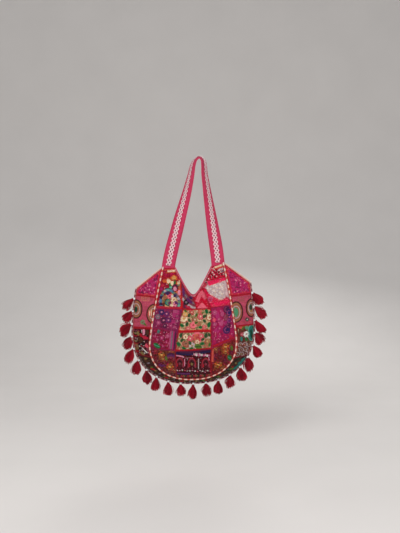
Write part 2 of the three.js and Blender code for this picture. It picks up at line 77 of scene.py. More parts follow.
def neck_line(inset=0.0):
    """The V neckline from the left peak to the right peak, set back into the cloth by inset."""
    across = np.linspace(-NECK["half"], NECK["half"], 801)
    reach = np.hypot(across, NECK["bend"])
    drop = (NECK["foot"] - NECK["top"]) / (np.hypot(NECK["half"], NECK["bend"]) - NECK["bend"])
    slope = -drop * across / reach
    length = np.hypot(1.0, slope)
    below = NECK["foot"] - drop * (reach - NECK["bend"])
    return evenly(np.column_stack([across - slope / length * inset, below + inset / length]))


def on_line(line, share):
    """Points at shares of a line's length."""
    at = np.clip(np.asarray(share, float), 0.0, 1.0) * (len(line) - 1)
    return np.stack([np.interp(at, np.arange(len(line)), column) for column in line.T], -1)


def nearest_share(line, spot):
    return np.linalg.norm(line - spot, axis=1).argmin() / (len(line) - 1)


def half_at(size, below):
    """Half the width inside the seam or the trim at a height."""
    rise = ((size["widest"] - below) / (size["widest"] - size["top"])).clip(0.0, 1.0)
    drop = ((below - size["widest"]) / (size["foot"] - size["widest"])).clip(0.0, 1.0)
    upper = size["half"] - (size["half"] - size["top_half"]) * rise ** size["flare"]
    lower = size["half"] * (1.0 - drop ** size["round"]) ** (1.0 / size["round"])
    return np.where(below <= size["widest"], upper, lower)


shoulder_half = TRIM["top_half"] + TRIM_WIDTH / 2 + SEAM_GAP / 2


def depth_at(across, below):
    """How far one face stands from the seam plane."""
    slant = (below - TRIM["top"]) / (SEAM["top"] - TRIM["top"])
    shoulder = shoulder_half + (SEAM["top_half"] - shoulder_half) * slant
    half = np.where(below < SEAM["top"], shoulder, half_at(SEAM, below)).clip(1e-3)
    rise = ((below - NECK["top"]) / (DEPTH["fullest"] - NECK["top"])).clip(0.0, 1.0)
    drop = ((below - DEPTH["fullest"]) / (SEAM["foot"] - DEPTH["fullest"])).clip(0.0, 1.0)
    upper = np.sin(rise * math.pi / 2) ** DEPTH["mouth_rise"]
    belly = DEPTH["belly"] * np.where(below <= DEPTH["fullest"], upper, 1.0 - drop ** DEPTH["foot_round"])
    return DEPTH["rim"] + belly * (1.0 - (np.abs(across) / half).clip(0.0, 1.0) ** DEPTH["across"])


def slopes_at(across, below, step=0.5):
    right = (depth_at(across + step, below) - depth_at(across - step, below)) / (2 * step)
    down = (depth_at(across, below + step) - depth_at(across, below - step)) / (2 * step)
    return right, down


def outward(across, below, face):
    """The cloth's outward direction on one face."""
    right, down = slopes_at(across, below)
    out = np.stack([-right, np.full_like(across, face), down], -1)
    return out / np.linalg.norm(out, axis=1)[:, None]


def eased(x, start, end):
    t = ((x - start) / (end - start)).clip(0.0, 1.0)
    return t * t * (3 - 2 * t)


def in_bag(across, below, y):
    """Cloth places in millimetres, as points of the hanging bag in metres, its right shoulder drawn up."""
    across, below = np.asarray(across, float), np.asarray(below, float)
    pull = eased(across, RISE["start"], RISE["end"]) * (1 - eased(below, RISE["top"], RISE["foot"]))
    return np.stack([BAG_SHIFT + across, y, -below + LEAN * across + RISE["height"] * pull], -1) * MM


trim_inside = panel_line(TRIM, -TRIM_WIDTH / 2 - SEAM_GAP / 2)
neck_edge = neck_line(BINDING_WIDTH + SEAM_GAP / 2)


def along_line(line, start, end):
    """An edge along a stretch of a line, as a function of a share."""
    return lambda t: on_line(line, start + (end - start) * np.asarray(t))


def straight(start, end):
    """An edge straight from one place to another, as a function of a share."""
    return lambda t: start + (end - start) * np.asarray(t)[..., None]


def patch_edges(corners, follows):
    """A patch's four edges: straight, or along the line that the edge follows."""
    sides = dict(top=(0, 1), right=(1, 2), bottom=(3, 2), left=(0, 3))
    knots = [np.array(KNOT[corner], float) for corner in corners.split()]
    for side, line in follows.items():
        for k in sides[side]:
            knots[k] = on_line(line, nearest_share(line, knots[k]))
    edges = {side: straight(knots[a], knots[b]) for side, (a, b) in sides.items()}
    for side, line in follows.items():
        edges[side] = along_line(line, *(nearest_share(line, knots[k]) for k in sides[side]))
    return edges


class Patch:
    """A quilted piece inside four edges on one face of the bag."""

    def __init__(self, name, edges, face):
        self.name, self.edges, self.face = name, edges, face
        share = np.linspace(0.0, 1.0, 49)[:-1]
        self.outline = np.vstack([edges["top"](share), edges["right"](share), edges["bottom"](1.0 - share),
                                  edges["left"](1.0 - share)])

    def at(self, u, v):
        """The cloth place at shares across and down the patch."""
        u, v = np.asarray(u, float), np.asarray(v, float)
        e = self.edges
        a, b = u[..., None], v[..., None]
        zero, one = np.zeros_like(u), np.ones_like(u)
        rows = e["top"](u) * (1 - b) + e["bottom"](u) * b
        columns = e["left"](v) * (1 - a) + e["right"](v) * a
        upper = e["top"](zero) * (1 - a) + e["top"](one) * a
        lower = e["bottom"](zero) * (1 - a) + e["bottom"](one) * a
        return rows + columns - upper * (1 - b) - lower * b

    def seam_distance(self, spots):
        start = self.outline
        along = np.roll(start, -1, 0) - start
        length2 = (along ** 2).sum(1).clip(1e-9)
        best = np.full(len(spots), np.inf)
        for a, d, size in zip(start, along, length2):
            t = (((spots - a) @ d) / size).clip(0.0, 1.0)
            best = np.minimum(best, np.hypot(*(spots - a - t[:, None] * d).T))
        return best

    def inside(self, spots):
        x, y = spots.T
        hit = np.zeros(len(spots), bool)
        for (ax, ay), (bx, by) in zip(self.outline, np.roll(self.outline, -1, 0)):
            cross = (ay > y) != (by > y)
            hit ^= cross & (x < ax + (bx - ax) * (y - ay) / (by - ay if by != ay else 1e-9))
        return hit

    def lift(self, spots):
        """Height of the quilted cloth over the plain form: swollen in the middle, puckered at the seams."""
        far, q = self.seam_distance(spots), QUILT
        across, below = spots.T
        ripple = np.sin(2 * math.pi * (0.8 * across + below) / q["ripple_pitch"])
        ripple = ripple * np.exp(-far / q["ripple_reach"]) * (1 - np.exp(-far / 1.5))
        slack = np.sin(across / 9.0 + 1.3) * np.sin(below / 11.0) + 0.6 * np.sin((across - below) / 5.5)
        return (q["puff"] * (1 - np.exp(-far / q["swell"])) - q["crease"] * np.exp(-far) + q["ripple"] * ripple
                + q["slack"] * slack * (far / (far + q["slack_from"])))

    def place(self, spots, height=0.0):
        across, below = spots.T
        return in_bag(across, below, self.face * (depth_at(across, below) + self.lift(spots) + height))

    def up(self, spots):
        return outward(*spots.T, self.face)


def colour(code):
    """A display colour as the linear values that a shader takes."""
    part = [int(code[k:k + 2], 16) / 255 for k in (0, 2, 4)]
    return [c / 12.92 if c <= 0.04045 else ((c + 0.055) / 1.055) ** 2.4 for c in part]


def dyed(code, depth=1.28):
    """A display colour as dyed cotton: its weaker parts sink, so that the hue comes out deeper."""
    part = np.array(colour(code))
    return list(part.max() * (part / part.max()) ** depth)


class Bench:
    """Adds nodes to a tree, with their options and their inputs: each input is a value or a socket to join."""

    def put(self, value, socket):
        if isinstance(value, bpy.types.NodeSocket):
            self.tree.links.new(value, socket)
        else:
            socket.default_value = value

    def node(self, kind, *inputs, **named):
        made = self.tree.nodes.new(kind)
        for key, value in named.items():
            label = key.replace("_", " ")
            if label in made.inputs:
                inputs += ((label, value),)
            else:
                setattr(made, key, value)
        for key, value in inputs:
            self.put(value, made.inputs[key])
        return made.outputs


class Finish(Bench):
    """A material in the making."""

    def __init__(self, name, roughness, sheen):
        self.material = bpy.data.materials.new(name)
        self.material.use_nodes = True
        self.tree = self.material.node_tree
        self.shader = self.tree.nodes["Principled BSDF"].inputs
        for socket, value in (("Roughness", roughness), ("Sheen Weight", sheen), ("Sheen Roughness", 0.5),
                              ("Specular IOR Level", 0.12)):
            self.shader[socket].default_value = value

    def place(self, on_cloth=False):
        """The cloth's own map, or Object coordinates."""
        if on_cloth:
            return self.node("ShaderNodeUVMap", uv_map="cloth")["UV"]
        return self.node("ShaderNodeTexCoord")["Object"]

    def noise(self, place, scale, detail, **more):
        return self.node("ShaderNodeTexNoise", Vector=place, Scale=scale, Detail=detail, **more)["Fac"]

    def ranged(self, value, low, high, first=0.0, last=1.0):
        """A value's stretch from low to high, drawn out to go from first to last."""
        return self.node("ShaderNodeMapRange", Value=value, From_Min=low, From_Max=high, To_Min=first,
                         To_Max=last)["Result"]

    def mixed(self, factor, first, second, **how):
        """From the first colour to the second with a factor; each is a value or a socket."""
        pair = [c if isinstance(c, bpy.types.NodeSocket) else (*c, 1.0) for c in (first, second)]
        return self.node("ShaderNodeMix", (0, factor), (6, pair[0]), (7, pair[1]), data_type="RGBA", **how)[2]

    def raised(self, height, strength, distance):
        return self.node("ShaderNodeBump", Height=height, Strength=strength, Distance=distance)["Normal"]

    def woven(self, place, scale, strength, distance):
        """Plain weave: warp and weft ridges."""
        warp, weft = (self.node("ShaderNodeTexWave", bands_direction=way, Vector=place, Scale=scale, Distortion=0.6,
                                Detail=1.0)["Fac"] for way in ("X", "Y"))
        high = self.node("ShaderNodeMath", (0, warp), (1, weft), operation="MAXIMUM")[0]
        return self.raised(high, strength, distance)

    def done(self, base, normal=None):
        self.put(base, self.shader["Base Color"])
        if normal is not None:
            self.put(normal, self.shader["Normal"])
        return self.material


def two_tone(name, first, second, roughness, sheen, scale, detail=4.0, span=None, on_cloth=False, weave=None,
             strands=None):
    """A finish that wanders between two tones, with a woven bump or one of fine strands."""
    look = Finish(name, roughness, sheen)
    place = look.place(on_cloth)
    cloud = look.noise(place, scale, detail)
    base = look.mixed(look.ranged(cloud, *span) if span else cloud, colour(first), colour(second))
    if weave:
        return look.done(base, look.woven(place, *weave))
    return look.done(base, look.raised(cloud, *strands) if strands else None)


def patch_cloth(name, ground, shade, ink=None, spot=0.0, spot_scale=1.0, border="a42438", border_width=2.8):
    """Cotton that fades between two tones, with an optional spotted print and a turned edge."""
    look = Finish(name, roughness=0.86, sheen=0.06)
    cloth = look.place(on_cloth=True)
    fade = look.ranged(look.noise(cloth, scale=0.9, detail=4.0, Roughness=0.6), 0.38, 0.62)
    base = look.mixed(fade, dyed(ground), dyed(shade))
    if ink:
        far = look.node("ShaderNodeTexVoronoi", Vector=cloth, Scale=spot_scale, Randomness=0.75)["Distance"]
        printed = look.node("ShaderNodeMath", (0, far), (1, spot), operation="LESS_THAN")[0]
        base = look.mixed(printed, base, dyed(ink))
    thin = look.ranged(look.noise(cloth, scale=9.0, detail=3.0), 0.35, 0.75, 0.0, 0.35)
    base = look.mixed(thin, base, [c * 0.45 for c in dyed(shade)])
    seam = look.node("ShaderNodeAttribute", attribute_name="seam_mm")["Fac"]
    edge = look.ranged(seam, border_width, border_width + 0.9, 1.0, 0.0)
    return look.done(look.mixed(edge, base, dyed(border)), look.woven(cloth, 3.0, 0.5, 0.0005))


lining = two_tone("maroon_lining", "4a1424", "6a2036", roughness=0.9, sheen=0.05, scale=1.3, on_cloth=True,
                  weave=(3.6, 0.35, 0.0004))


def mesh_piece(name, points, faces=(), materials=(), edges=()):
    """A smooth piece of mesh, in metres where it belongs."""
    mesh = bpy.data.meshes.new(name)
    mesh.from_pydata(np.asarray(points).tolist(), list(edges), list(faces))
    for material in materials:
        mesh.materials.append(material)
    if mesh.polygons:
        mesh.polygons.foreach_set("use_smooth", [True] * len(mesh.polygons))
    piece = bpy.data.objects.new(name, mesh)
    bpy.context.collection.objects.link(piece)
    return piece


def mark(piece, label, values):
    """Keeps a number, a direction or a colour for each point of a piece."""
    values = np.asarray(values, np.float32)
    kind, key = {1: ("FLOAT", "value"), 3: ("FLOAT_VECTOR", "vector"), 4: ("FLOAT_COLOR", "color")}[
        values.shape[1] if values.ndim > 1 else 1]
    piece.data.attributes.new(label, kind, "POINT").data.foreach_set(key, values.ravel())


def lay_flat(piece, flat):
    """Gives a piece the map of its cloth: a flat place for each point."""
    loops = np.zeros(len(piece.data.loops), np.int32)
    piece.data.loops.foreach_get("vertex_index", loops)
    layer = piece.data.uv_layers.new(name="cloth")
    layer.data.foreach_set("uv", flat[loops].astype(np.float32).ravel())


def join_on(piece, node=None):
    """Makes a piece part of the bag's one body, and hides the CAD node that it stands for."""
    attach(piece, "root")
    if node:
        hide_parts(node)
    return piece


def quilted_piece(patch, cloth, cell=3.3):
    """The patch as a closed wall: quilted outside, lining inside, and turned edges between."""
    share, clear = np.linspace(0.0, 1.0, 9), SEAM_GAP / 2
    wide = np.linalg.norm(patch.at(0 * share, share) - patch.at(0 * share + 1, share), axis=1)
    tall = np.linalg.norm(patch.at(share, 0 * share) - patch.at(share, 0 * share + 1), axis=1)
    columns, rows = (max(6, int(round(size.max() / cell))) for size in (wide, tall))
    u, v = np.meshgrid(np.linspace(0, 1, columns + 1), np.linspace(0, 1, rows + 1))
    inset_u = np.minimum(0.2, clear / np.interp(v, share, wide).clip(1.0))
    inset_v = np.minimum(0.2, clear / np.interp(u, share, tall).clip(1.0))
    spots = patch.at(inset_u + (1 - 2 * inset_u) * u, inset_v + (1 - 2 * inset_v) * v).reshape(-1, 2)
    across, below = spots.T
    wall = WALL * np.minimum(2.0, np.sqrt(1 + sum(s ** 2 for s in slopes_at(across, below))))
    inner_y = np.maximum(SEAM_GAP, depth_at(across, below) - wall)
    points = np.vstack([patch.place(spots), in_bag(across, below, patch.face * inner_y)])
    at = np.arange(len(spots)).reshape(rows + 1, columns + 1)
    quads = np.stack([at[:-1, :-1], at[1:, :-1], at[1:, 1:], at[:-1, 1:]], -1).reshape(-1, 4)
    rim = np.r_[at[0, :-1], at[:-1, -1], at[-1, :0:-1], at[:0:-1, 0]]
    a, b, c = points[quads[len(quads) // 2][:3]]
    if np.cross(b - a, c - a)[1] * patch.face < 0:
        quads, rim = quads[:, ::-1], rim[::-1]
    after = np.roll(rim, -1)
    side = np.stack([rim, after, after + len(spots), rim + len(spots)], -1)
    faces = np.vstack([quads, quads[:, ::-1] + len(spots), side])
    piece = mesh_piece(patch.name + "_quilted", points, faces.tolist(), [cloth, lining])
    which = np.repeat([0, 1, 2], [len(quads), len(quads), len(side)])
    piece.data.polygons.foreach_set("material_index", (which == 1).astype(np.int32))
    piece.data.polygons.foreach_set("use_smooth", which < 2)
    lay_flat(piece, np.vstack([spots, spots]) / 10.0)
    mark(piece, "seam_mm", np.tile(patch.seam_distance(spots), 2))
    piece.data.update()
    join_on(piece, patch.name)


KNOT = dict(
    left_top=(-100, 375), left_neck_top=(-66, 375), left_neck=(-41, 424), left_high=(-106, 404),
    left_upper=(-130, 508), left_middle=(-140, 569), left_lower=(-145, 643), left_foot=(-118, 711),
    right_top=(100, 375), right_neck_top=(66, 375), right_neck_high=(42, 423), right_neck=(30, 442),
    right_high=(112, 420), right_shoulder=(126, 489), right_upper=(130, 508), right_lower=(145, 616),
    right_foot=(120, 709), neck_foot=(-1, 472),
    upper_left=(-36, 514), upper_middle=(10, 513.5), upper_right=(60, 513),
    middle_left=(-50, 587), middle_right=(61.1, 587),
    lower_left=(-60, 650), lower_right=(62, 646), foot_left=(-58, 745), foot_right=(60, 745),
)
CENTRE_PATCHES = (
    # name, corners from the top left clockwise, edges that follow a line, cloth
    ("front_peak_left", "left_top left_neck_top left_neck left_high", dict(left=trim_inside, right=neck_edge),
     dict(ground="a41c40", shade="80142e", ink="c44860", spot=0.16, spot_scale=1.6)),
    ("front_flower_patch", "left_high left_neck upper_left left_upper", dict(left=trim_inside),
     dict(ground="98203a", shade="741830")),
    ("front_neck_left", "left_neck neck_foot upper_middle upper_left", dict(top=neck_edge),
     dict(ground="683048", shade="4a1e34")),
    ("front_chevron_patch", "neck_foot right_neck upper_right upper_middle", dict(top=neck_edge),
     dict(ground="c0123c", shade="a00e30")),
    ("front_peak_right", "right_neck_top right_top right_high right_neck_high",
     dict(left=neck_edge, right=trim_inside), dict(ground="c02444", shade="9c1c34")),
    ("front_pale_patch", "right_neck_high right_high right_shoulder right_neck",
     dict(left=neck_edge, right=trim_inside),
     dict(ground="ccb0b0", shade="b49696", ink="e4d2d0", spot=0.22, spot_scale=2.6, border="c0a4a6")),
    ("front_rosette_patch", "right_neck right_shoulder right_upper upper_right", dict(right=trim_inside),
     dict(ground="ce2c58", shade="b01e46", border="b01e44")),
    ("front_violet_patch", "left_upper upper_left middle_left left_middle", dict(left=trim_inside),
     dict(ground="802a50", shade="5e1e3e", ink="a04672", spot=0.2, spot_scale=2.2, border="6a2244")),
    ("front_magenta_patch", "left_middle middle_left lower_left left_lower", dict(left=trim_inside),
     dict(ground="8c2040", shade="681830", ink="aa446c", spot=0.17, spot_scale=2.4, border="78203e")),
    ("front_garden_upper", "upper_left upper_right middle_right middle_left", {},
     dict(ground="cbb08e", shade="a68a6c", border="b02a38", border_width=3.6)),
    ("front_garden_lower", "middle_left middle_right lower_right lower_left", {},
     dict(ground="b49a7c", shade="90745c", border="a02434", border_width=3.6)),
    ("front_indigo_patch", "upper_right right_upper right_lower lower_right", dict(right=trim_inside),
     dict(ground="a4265a", shade="801c46", ink="bc487c", spot=0.15, spot_scale=2.4, border="8a2048")),
    ("front_mauve_left", "left_lower lower_left foot_left left_foot", dict(left=trim_inside, bottom=trim_inside),
     dict(ground="5c2028", shade="40141c", ink="3c1830", spot=0.2, spot_scale=1.5, border="5e2028")),
    ("front_arch_patch", "lower_left lower_right foot_right foot_left", dict(bottom=trim_inside),
     dict(ground="480e1a", shade="320a14", border="7c1c28")),
    ("front_mauve_right", "lower_right right_lower right_foot foot_right",
     dict(right=trim_inside, bottom=trim_inside),
     dict(ground="6a2428", shade="4c181c", ink="70381a", spot=0.2, spot_scale=1.3, border="7c2028")),
)
patches = {}


def sew_front(name, edges, cloth):
    """A patch of the front, with its own cloth."""
    patches[name] = Patch(name, edges, FRONT)
    quilted_piece(patches[name], patch_cloth(name + "_cloth", **cloth))


for name, corners, follows, cloth in CENTRE_PATCHES:
    sew_front(name, patch_edges(corners, follows), cloth)

# Front band patches
# A border of larger cotton pieces between the trim and the outer seam: dotted purple under the shoulders,
# mauve with eye motifs, then dark, teal and grey-green prints down to the foot.
seam_line = panel_line(SEAM)
trim_outside = panel_line(TRIM, TRIM_WIDTH / 2 + SEAM_GAP / 2)
FOOT_SHARE = 0.5


def band_edges(side, start, end):
    """Edges of a band piece between two heights on the seam and on the trim; none means its top or the foot."""
    def stretch(line, size, k):
        shares = [0.0 if side < 0 else 1.0, FOOT_SHARE]
        for n, heights in enumerate((start, end)):
            if heights:
                spot = np.array([side * float(half_at(size, np.array(heights[k]))), heights[k]])
                shares[n] = nearest_share(line, spot)
        return along_line(line, *shares)

    inner, outer = stretch(trim_outside, TRIM, 1), stretch(seam_line, SEAM, 0)
    top, bottom = (straight(inner(np.array(at)), outer(np.array(at))) for at in (0.0, 1.0))
    return dict(left=inner, right=outer, top=top, bottom=bottom)


CORNER_CLOTH = dict(ground="bc2e66", shade="942052", ink="d06c98", spot=0.2, spot_scale=3.0, border="b83450",
                    border_width=5.5)
EYE_CLOTH = dict(ground="b2566c", shade="944656")
BAND_PATCHES = (
    # name, side, start and end heights on the seam and the trim, cloth
    ("band_corner_left", -1, None, (462, 472), CORNER_CLOTH),
    ("band_eye_left", -1, (462, 472), (574, 576), EYE_CLOTH),
    ("band_dark_left", -1, (574, 576), (664, 670), dict(ground="340c16", shade="220810", border="7c1c28")),
    ("band_lower_left", -1, (664, 670), None,
     dict(ground="38241c", shade="241612", ink="4c1a1e", spot=0.16, spot_scale=1.6, border="5c1c24")),
    ("band_corner_right", 1, None, (476, 482), CORNER_CLOTH),
    ("band_eye_right", 1, (476, 482), (576, 579), EYE_CLOTH),
    ("band_teal_right", 1, (576, 579), (676, 682),
     dict(ground="6c3e30", shade="502c24", ink="7c5040", spot=0.2, spot_scale=1.8, border="842028")),
    ("band_lower_right", 1, (676, 682), None,
     dict(ground="32261f", shade="221a15", ink="1a3c38", spot=0.18, spot_scale=1.4, border="5c1c24")),
)
for name, side, start, end, cloth in BAND_PATCHES:
    sew_front(name, band_edges(side, start, end), cloth)

# Back panel and back band
# The unseen side, finished plainly: four crimson cotton pieces inside the trim and a plain purple band at
# each side, quilted and sewn as the front is.
KNOT |= dict(
    back_foot=(0, 472), back_left_upper=(-124, 474), back_right_upper=(124, 474),
    back_left_lower=(-145, 620), back_right_lower=(145, 620), back_left_foot=(-104, 722), back_right_foot=(104, 722),
)
BACK_PATCHES = dict(
    back_peak_left=patch_edges("left_top left_neck_top back_foot back_left_upper",
                               dict(left=trim_inside, right=neck_edge)),
    back_peak_right=patch_edges("right_neck_top right_top back_right_upper back_foot",
                                dict(left=neck_edge, right=trim_inside)),
    back_panel=patch_edges("back_left_upper back_right_upper back_right_lower back_left_lower",
                           dict(left=trim_inside, right=trim_inside)),
    back_base=patch_edges("back_left_lower back_right_lower back_right_foot back_left_foot",
                          dict(left=trim_inside, right=trim_inside, bottom=trim_inside)),
    back_side_left=band_edges(-1, None, None), back_side_right=band_edges(1, None, None),
)
BACK_TONES = dict(back_cotton=("b0284e", "941e42"), back_band_cotton=("8c3a76", "702e62"))
back_finish = {slot: patch_cloth(slot, *tones, border="7c1a34", border_width=1.2)
               for slot, tones in BACK_TONES.items()}
for name, edges in BACK_PATCHES.items():
    patches[name] = Patch(name, edges, BACK)
    slot = "back_band_cotton" if "side" in name else "back_cotton"
    quilted_piece(patches[name], back_finish[slot], cell=4.0)

# Embroidery
# Cotton floss worked through the patches by hand: satin stitch leaves and petals, rings, rope-stitch lines and
# running stitch. Every stitch rises out of the cloth and goes back into it.


class Tree(Bench):
    """A Geometry Nodes tree in the making, with named inputs for its sizes and its material."""

    def __init__(self, name, **sizes):
        self.tree = bpy.data.node_groups.new(name, "GeometryNodeTree")
        for way in ("INPUT", "OUTPUT"):
            self.tree.interface.new_socket("Geometry", in_out=way, socket_type="NodeSocketGeometry")
        for label, value in sizes.items():
            kind = {int: "NodeSocketInt", float: "NodeSocketFloat"}.get(type(value), "NodeSocketMaterial")
            socket = self.tree.interface.new_socket(label, in_out="INPUT", socket_type=kind)
            if value is not None:
                socket.default_value = value
        self.given = self.tree.nodes.new("NodeGroupInput").outputs
        self.result = self.tree.nodes.new("NodeGroupOutput").inputs

    def standing(self, along):
        """A turn that lays X along a direction and Z on the point's up direction."""
        up = self.node("GeometryNodeInputNamedAttribute", data_type="FLOAT_VECTOR", Name="up")[0]
        return self.node("FunctionNodeAxesToRotation", (0, along), (1, up), primary_axis="X", secondary_axis="Z")[0]

    def finished(self, laid, finish):
        """Ends the tree: what it has laid becomes one smooth mesh with its material."""
        real = self.node("GeometryNodeRealizeInstances", Geometry=laid[0])
        smooth = self.node("GeometryNodeSetShadeSmooth", Geometry=real[0])
        done = self.node("GeometryNodeSetMaterial", Geometry=smooth[0], Material=finish)
        self.put(done[0], self.result["Geometry"])
        return self.tree


def made_by(tree, source, **values):
    """Runs a tree on an object and keeps the result as its plain mesh."""
    modifier = source.modifiers.new("making", "NODES")
    modifier.node_group = tree
    for item in tree.interface.items_tree:
        key = item.name.replace(" ", "_").lower()
        if item.in_out == "INPUT" and key in values:
            modifier[item.identifier] = values[key]
    evaluated = source.evaluated_get(bpy.context.evaluated_depsgraph_get())
    mesh = bpy.data.meshes.new_from_object(evaluated)
    source.modifiers.remove(modifier)
    mesh.name = source.name
    source.data = mesh
    return source


def stitch_tree():
    """Lays one arched thread over each point, along its run and standing on its up direction."""
    tree = Tree("sewn_stitches", Sides=4, Steps=3, Arch=0.55, Floss=None)
    given, node = tree.given, tree.node
    rise = node("ShaderNodeCombineXYZ", Z=given["Arch"])
    arch = node("GeometryNodeCurveQuadraticBezier", Resolution=given["Steps"], Start=(-0.5, 0, -0.35),
                Middle=rise[0], End=(0.5, 0, -0.35))
    section = node("GeometryNodeCurvePrimitiveCircle", Resolution=given["Sides"], Radius=0.5)
    thread = node("GeometryNodeCurveToMesh", Curve=arch[0], Profile_Curve=section["Curve"])
    spots = node("GeometryNodeMeshToPoints", Mesh=given["Geometry"])
    run = node("GeometryNodeInputNamedAttribute", data_type="FLOAT_VECTOR", Name="run")[0]
    thick = node("GeometryNodeInputNamedAttribute", data_type="FLOAT", Name="thick")[0]
    length = node("ShaderNodeVectorMath", (0, run), operation="LENGTH")["Value"]
    size = node("ShaderNodeCombineXYZ", X=length, Y=thick, Z=thick)
    laid = node("GeometryNodeInstanceOnPoints", Points=spots[0], Instance=thread[0], Rotation=tree.standing(run),
                Scale=size[0])
    return tree.finished(laid, given["Floss"])


sewn_stitches = stitch_tree()


def dyed_thread(name, roughness, sheen, scale, detail, depth, bump):
    """Thread in the dye that each point keeps, darker and lower between its fine strands."""
    look = Finish(name, roughness, sheen)
    strands = look.noise(look.place(), scale, detail)
    dye = look.node("ShaderNodeAttribute", attribute_name="dye")["Color"]
    return look.done(look.mixed(depth, dye, strands, blend_type="MULTIPLY"), look.raised(strands, *bump))


floss_finish = dyed_thread("floss", roughness=0.55, sheen=0.08, scale=900.0, detail=2.0, depth=0.5,
                           bump=(0.3, 0.0003))
DYE = dict(
    crimson="b41432", maroon="4c0e1c", hot_pink="ec286c", pink="de667c", rose="c22e50", coral="d86e60",
    cream="f0dabe", gold="e0b270", mustard="946414", orange="d67436", red="cc2424", teal="2c8078", sea="74b09c",
    steel="5c8ca4", navy="221c44", leaf="1c6c3c", moss="5c7030", pine="12402c", violet="642a62", lilac="b85c84",
    indigo="362458", black="180c10", white="f2ece6", silver="c4b4b4", grey="7c7078", tan="a67858", khaki="88744c",
    brown="50301e", cocoa="481a18", magenta="ac2070", wool="a81028", orchid="b43c78", grape="481c40", sage="788c70",
    blush="e4a0b4", salmon="ee8092", sand="d2b48a", frost="5e8ea6", dusk="864452", fawn="a46e5a", jade="609878",
)
LONGEST_STITCH, CROWDED, BESIDE = 7.0, 0.9, 1.2
LIFT = {"on top": 0.5, "under": -0.2, "over": 0.1, "beside": 0.1}


def stitch_piece(name, middles, run, up, thick, dye):
    """One piece of floss: a stitch at each middle, with its run, up direction, thickness and colour."""
    piece = mesh_piece(name, middles)
    for label, values in (("run", run), ("up", up), ("thick", thick), ("dye", dye)):
        mark(piece, label, values)
    return join_on(made_by(sewn_stitches, piece, floss=floss_finish))


def length_of(path):
    return np.linalg.norm(np.diff(path, axis=0), axis=1).sum()


def heading(angle):
    return np.array([math.cos(angle), math.sin(angle)])


def crosswise(line):
    """Unit directions along a flat line and across it."""
    along = np.gradient(line, axis=0)
    along /= np.linalg.norm(along, axis=1)[:, None].clip(1e-6)
    return along, np.column_stack([-along[:, 1], along[:, 0]])


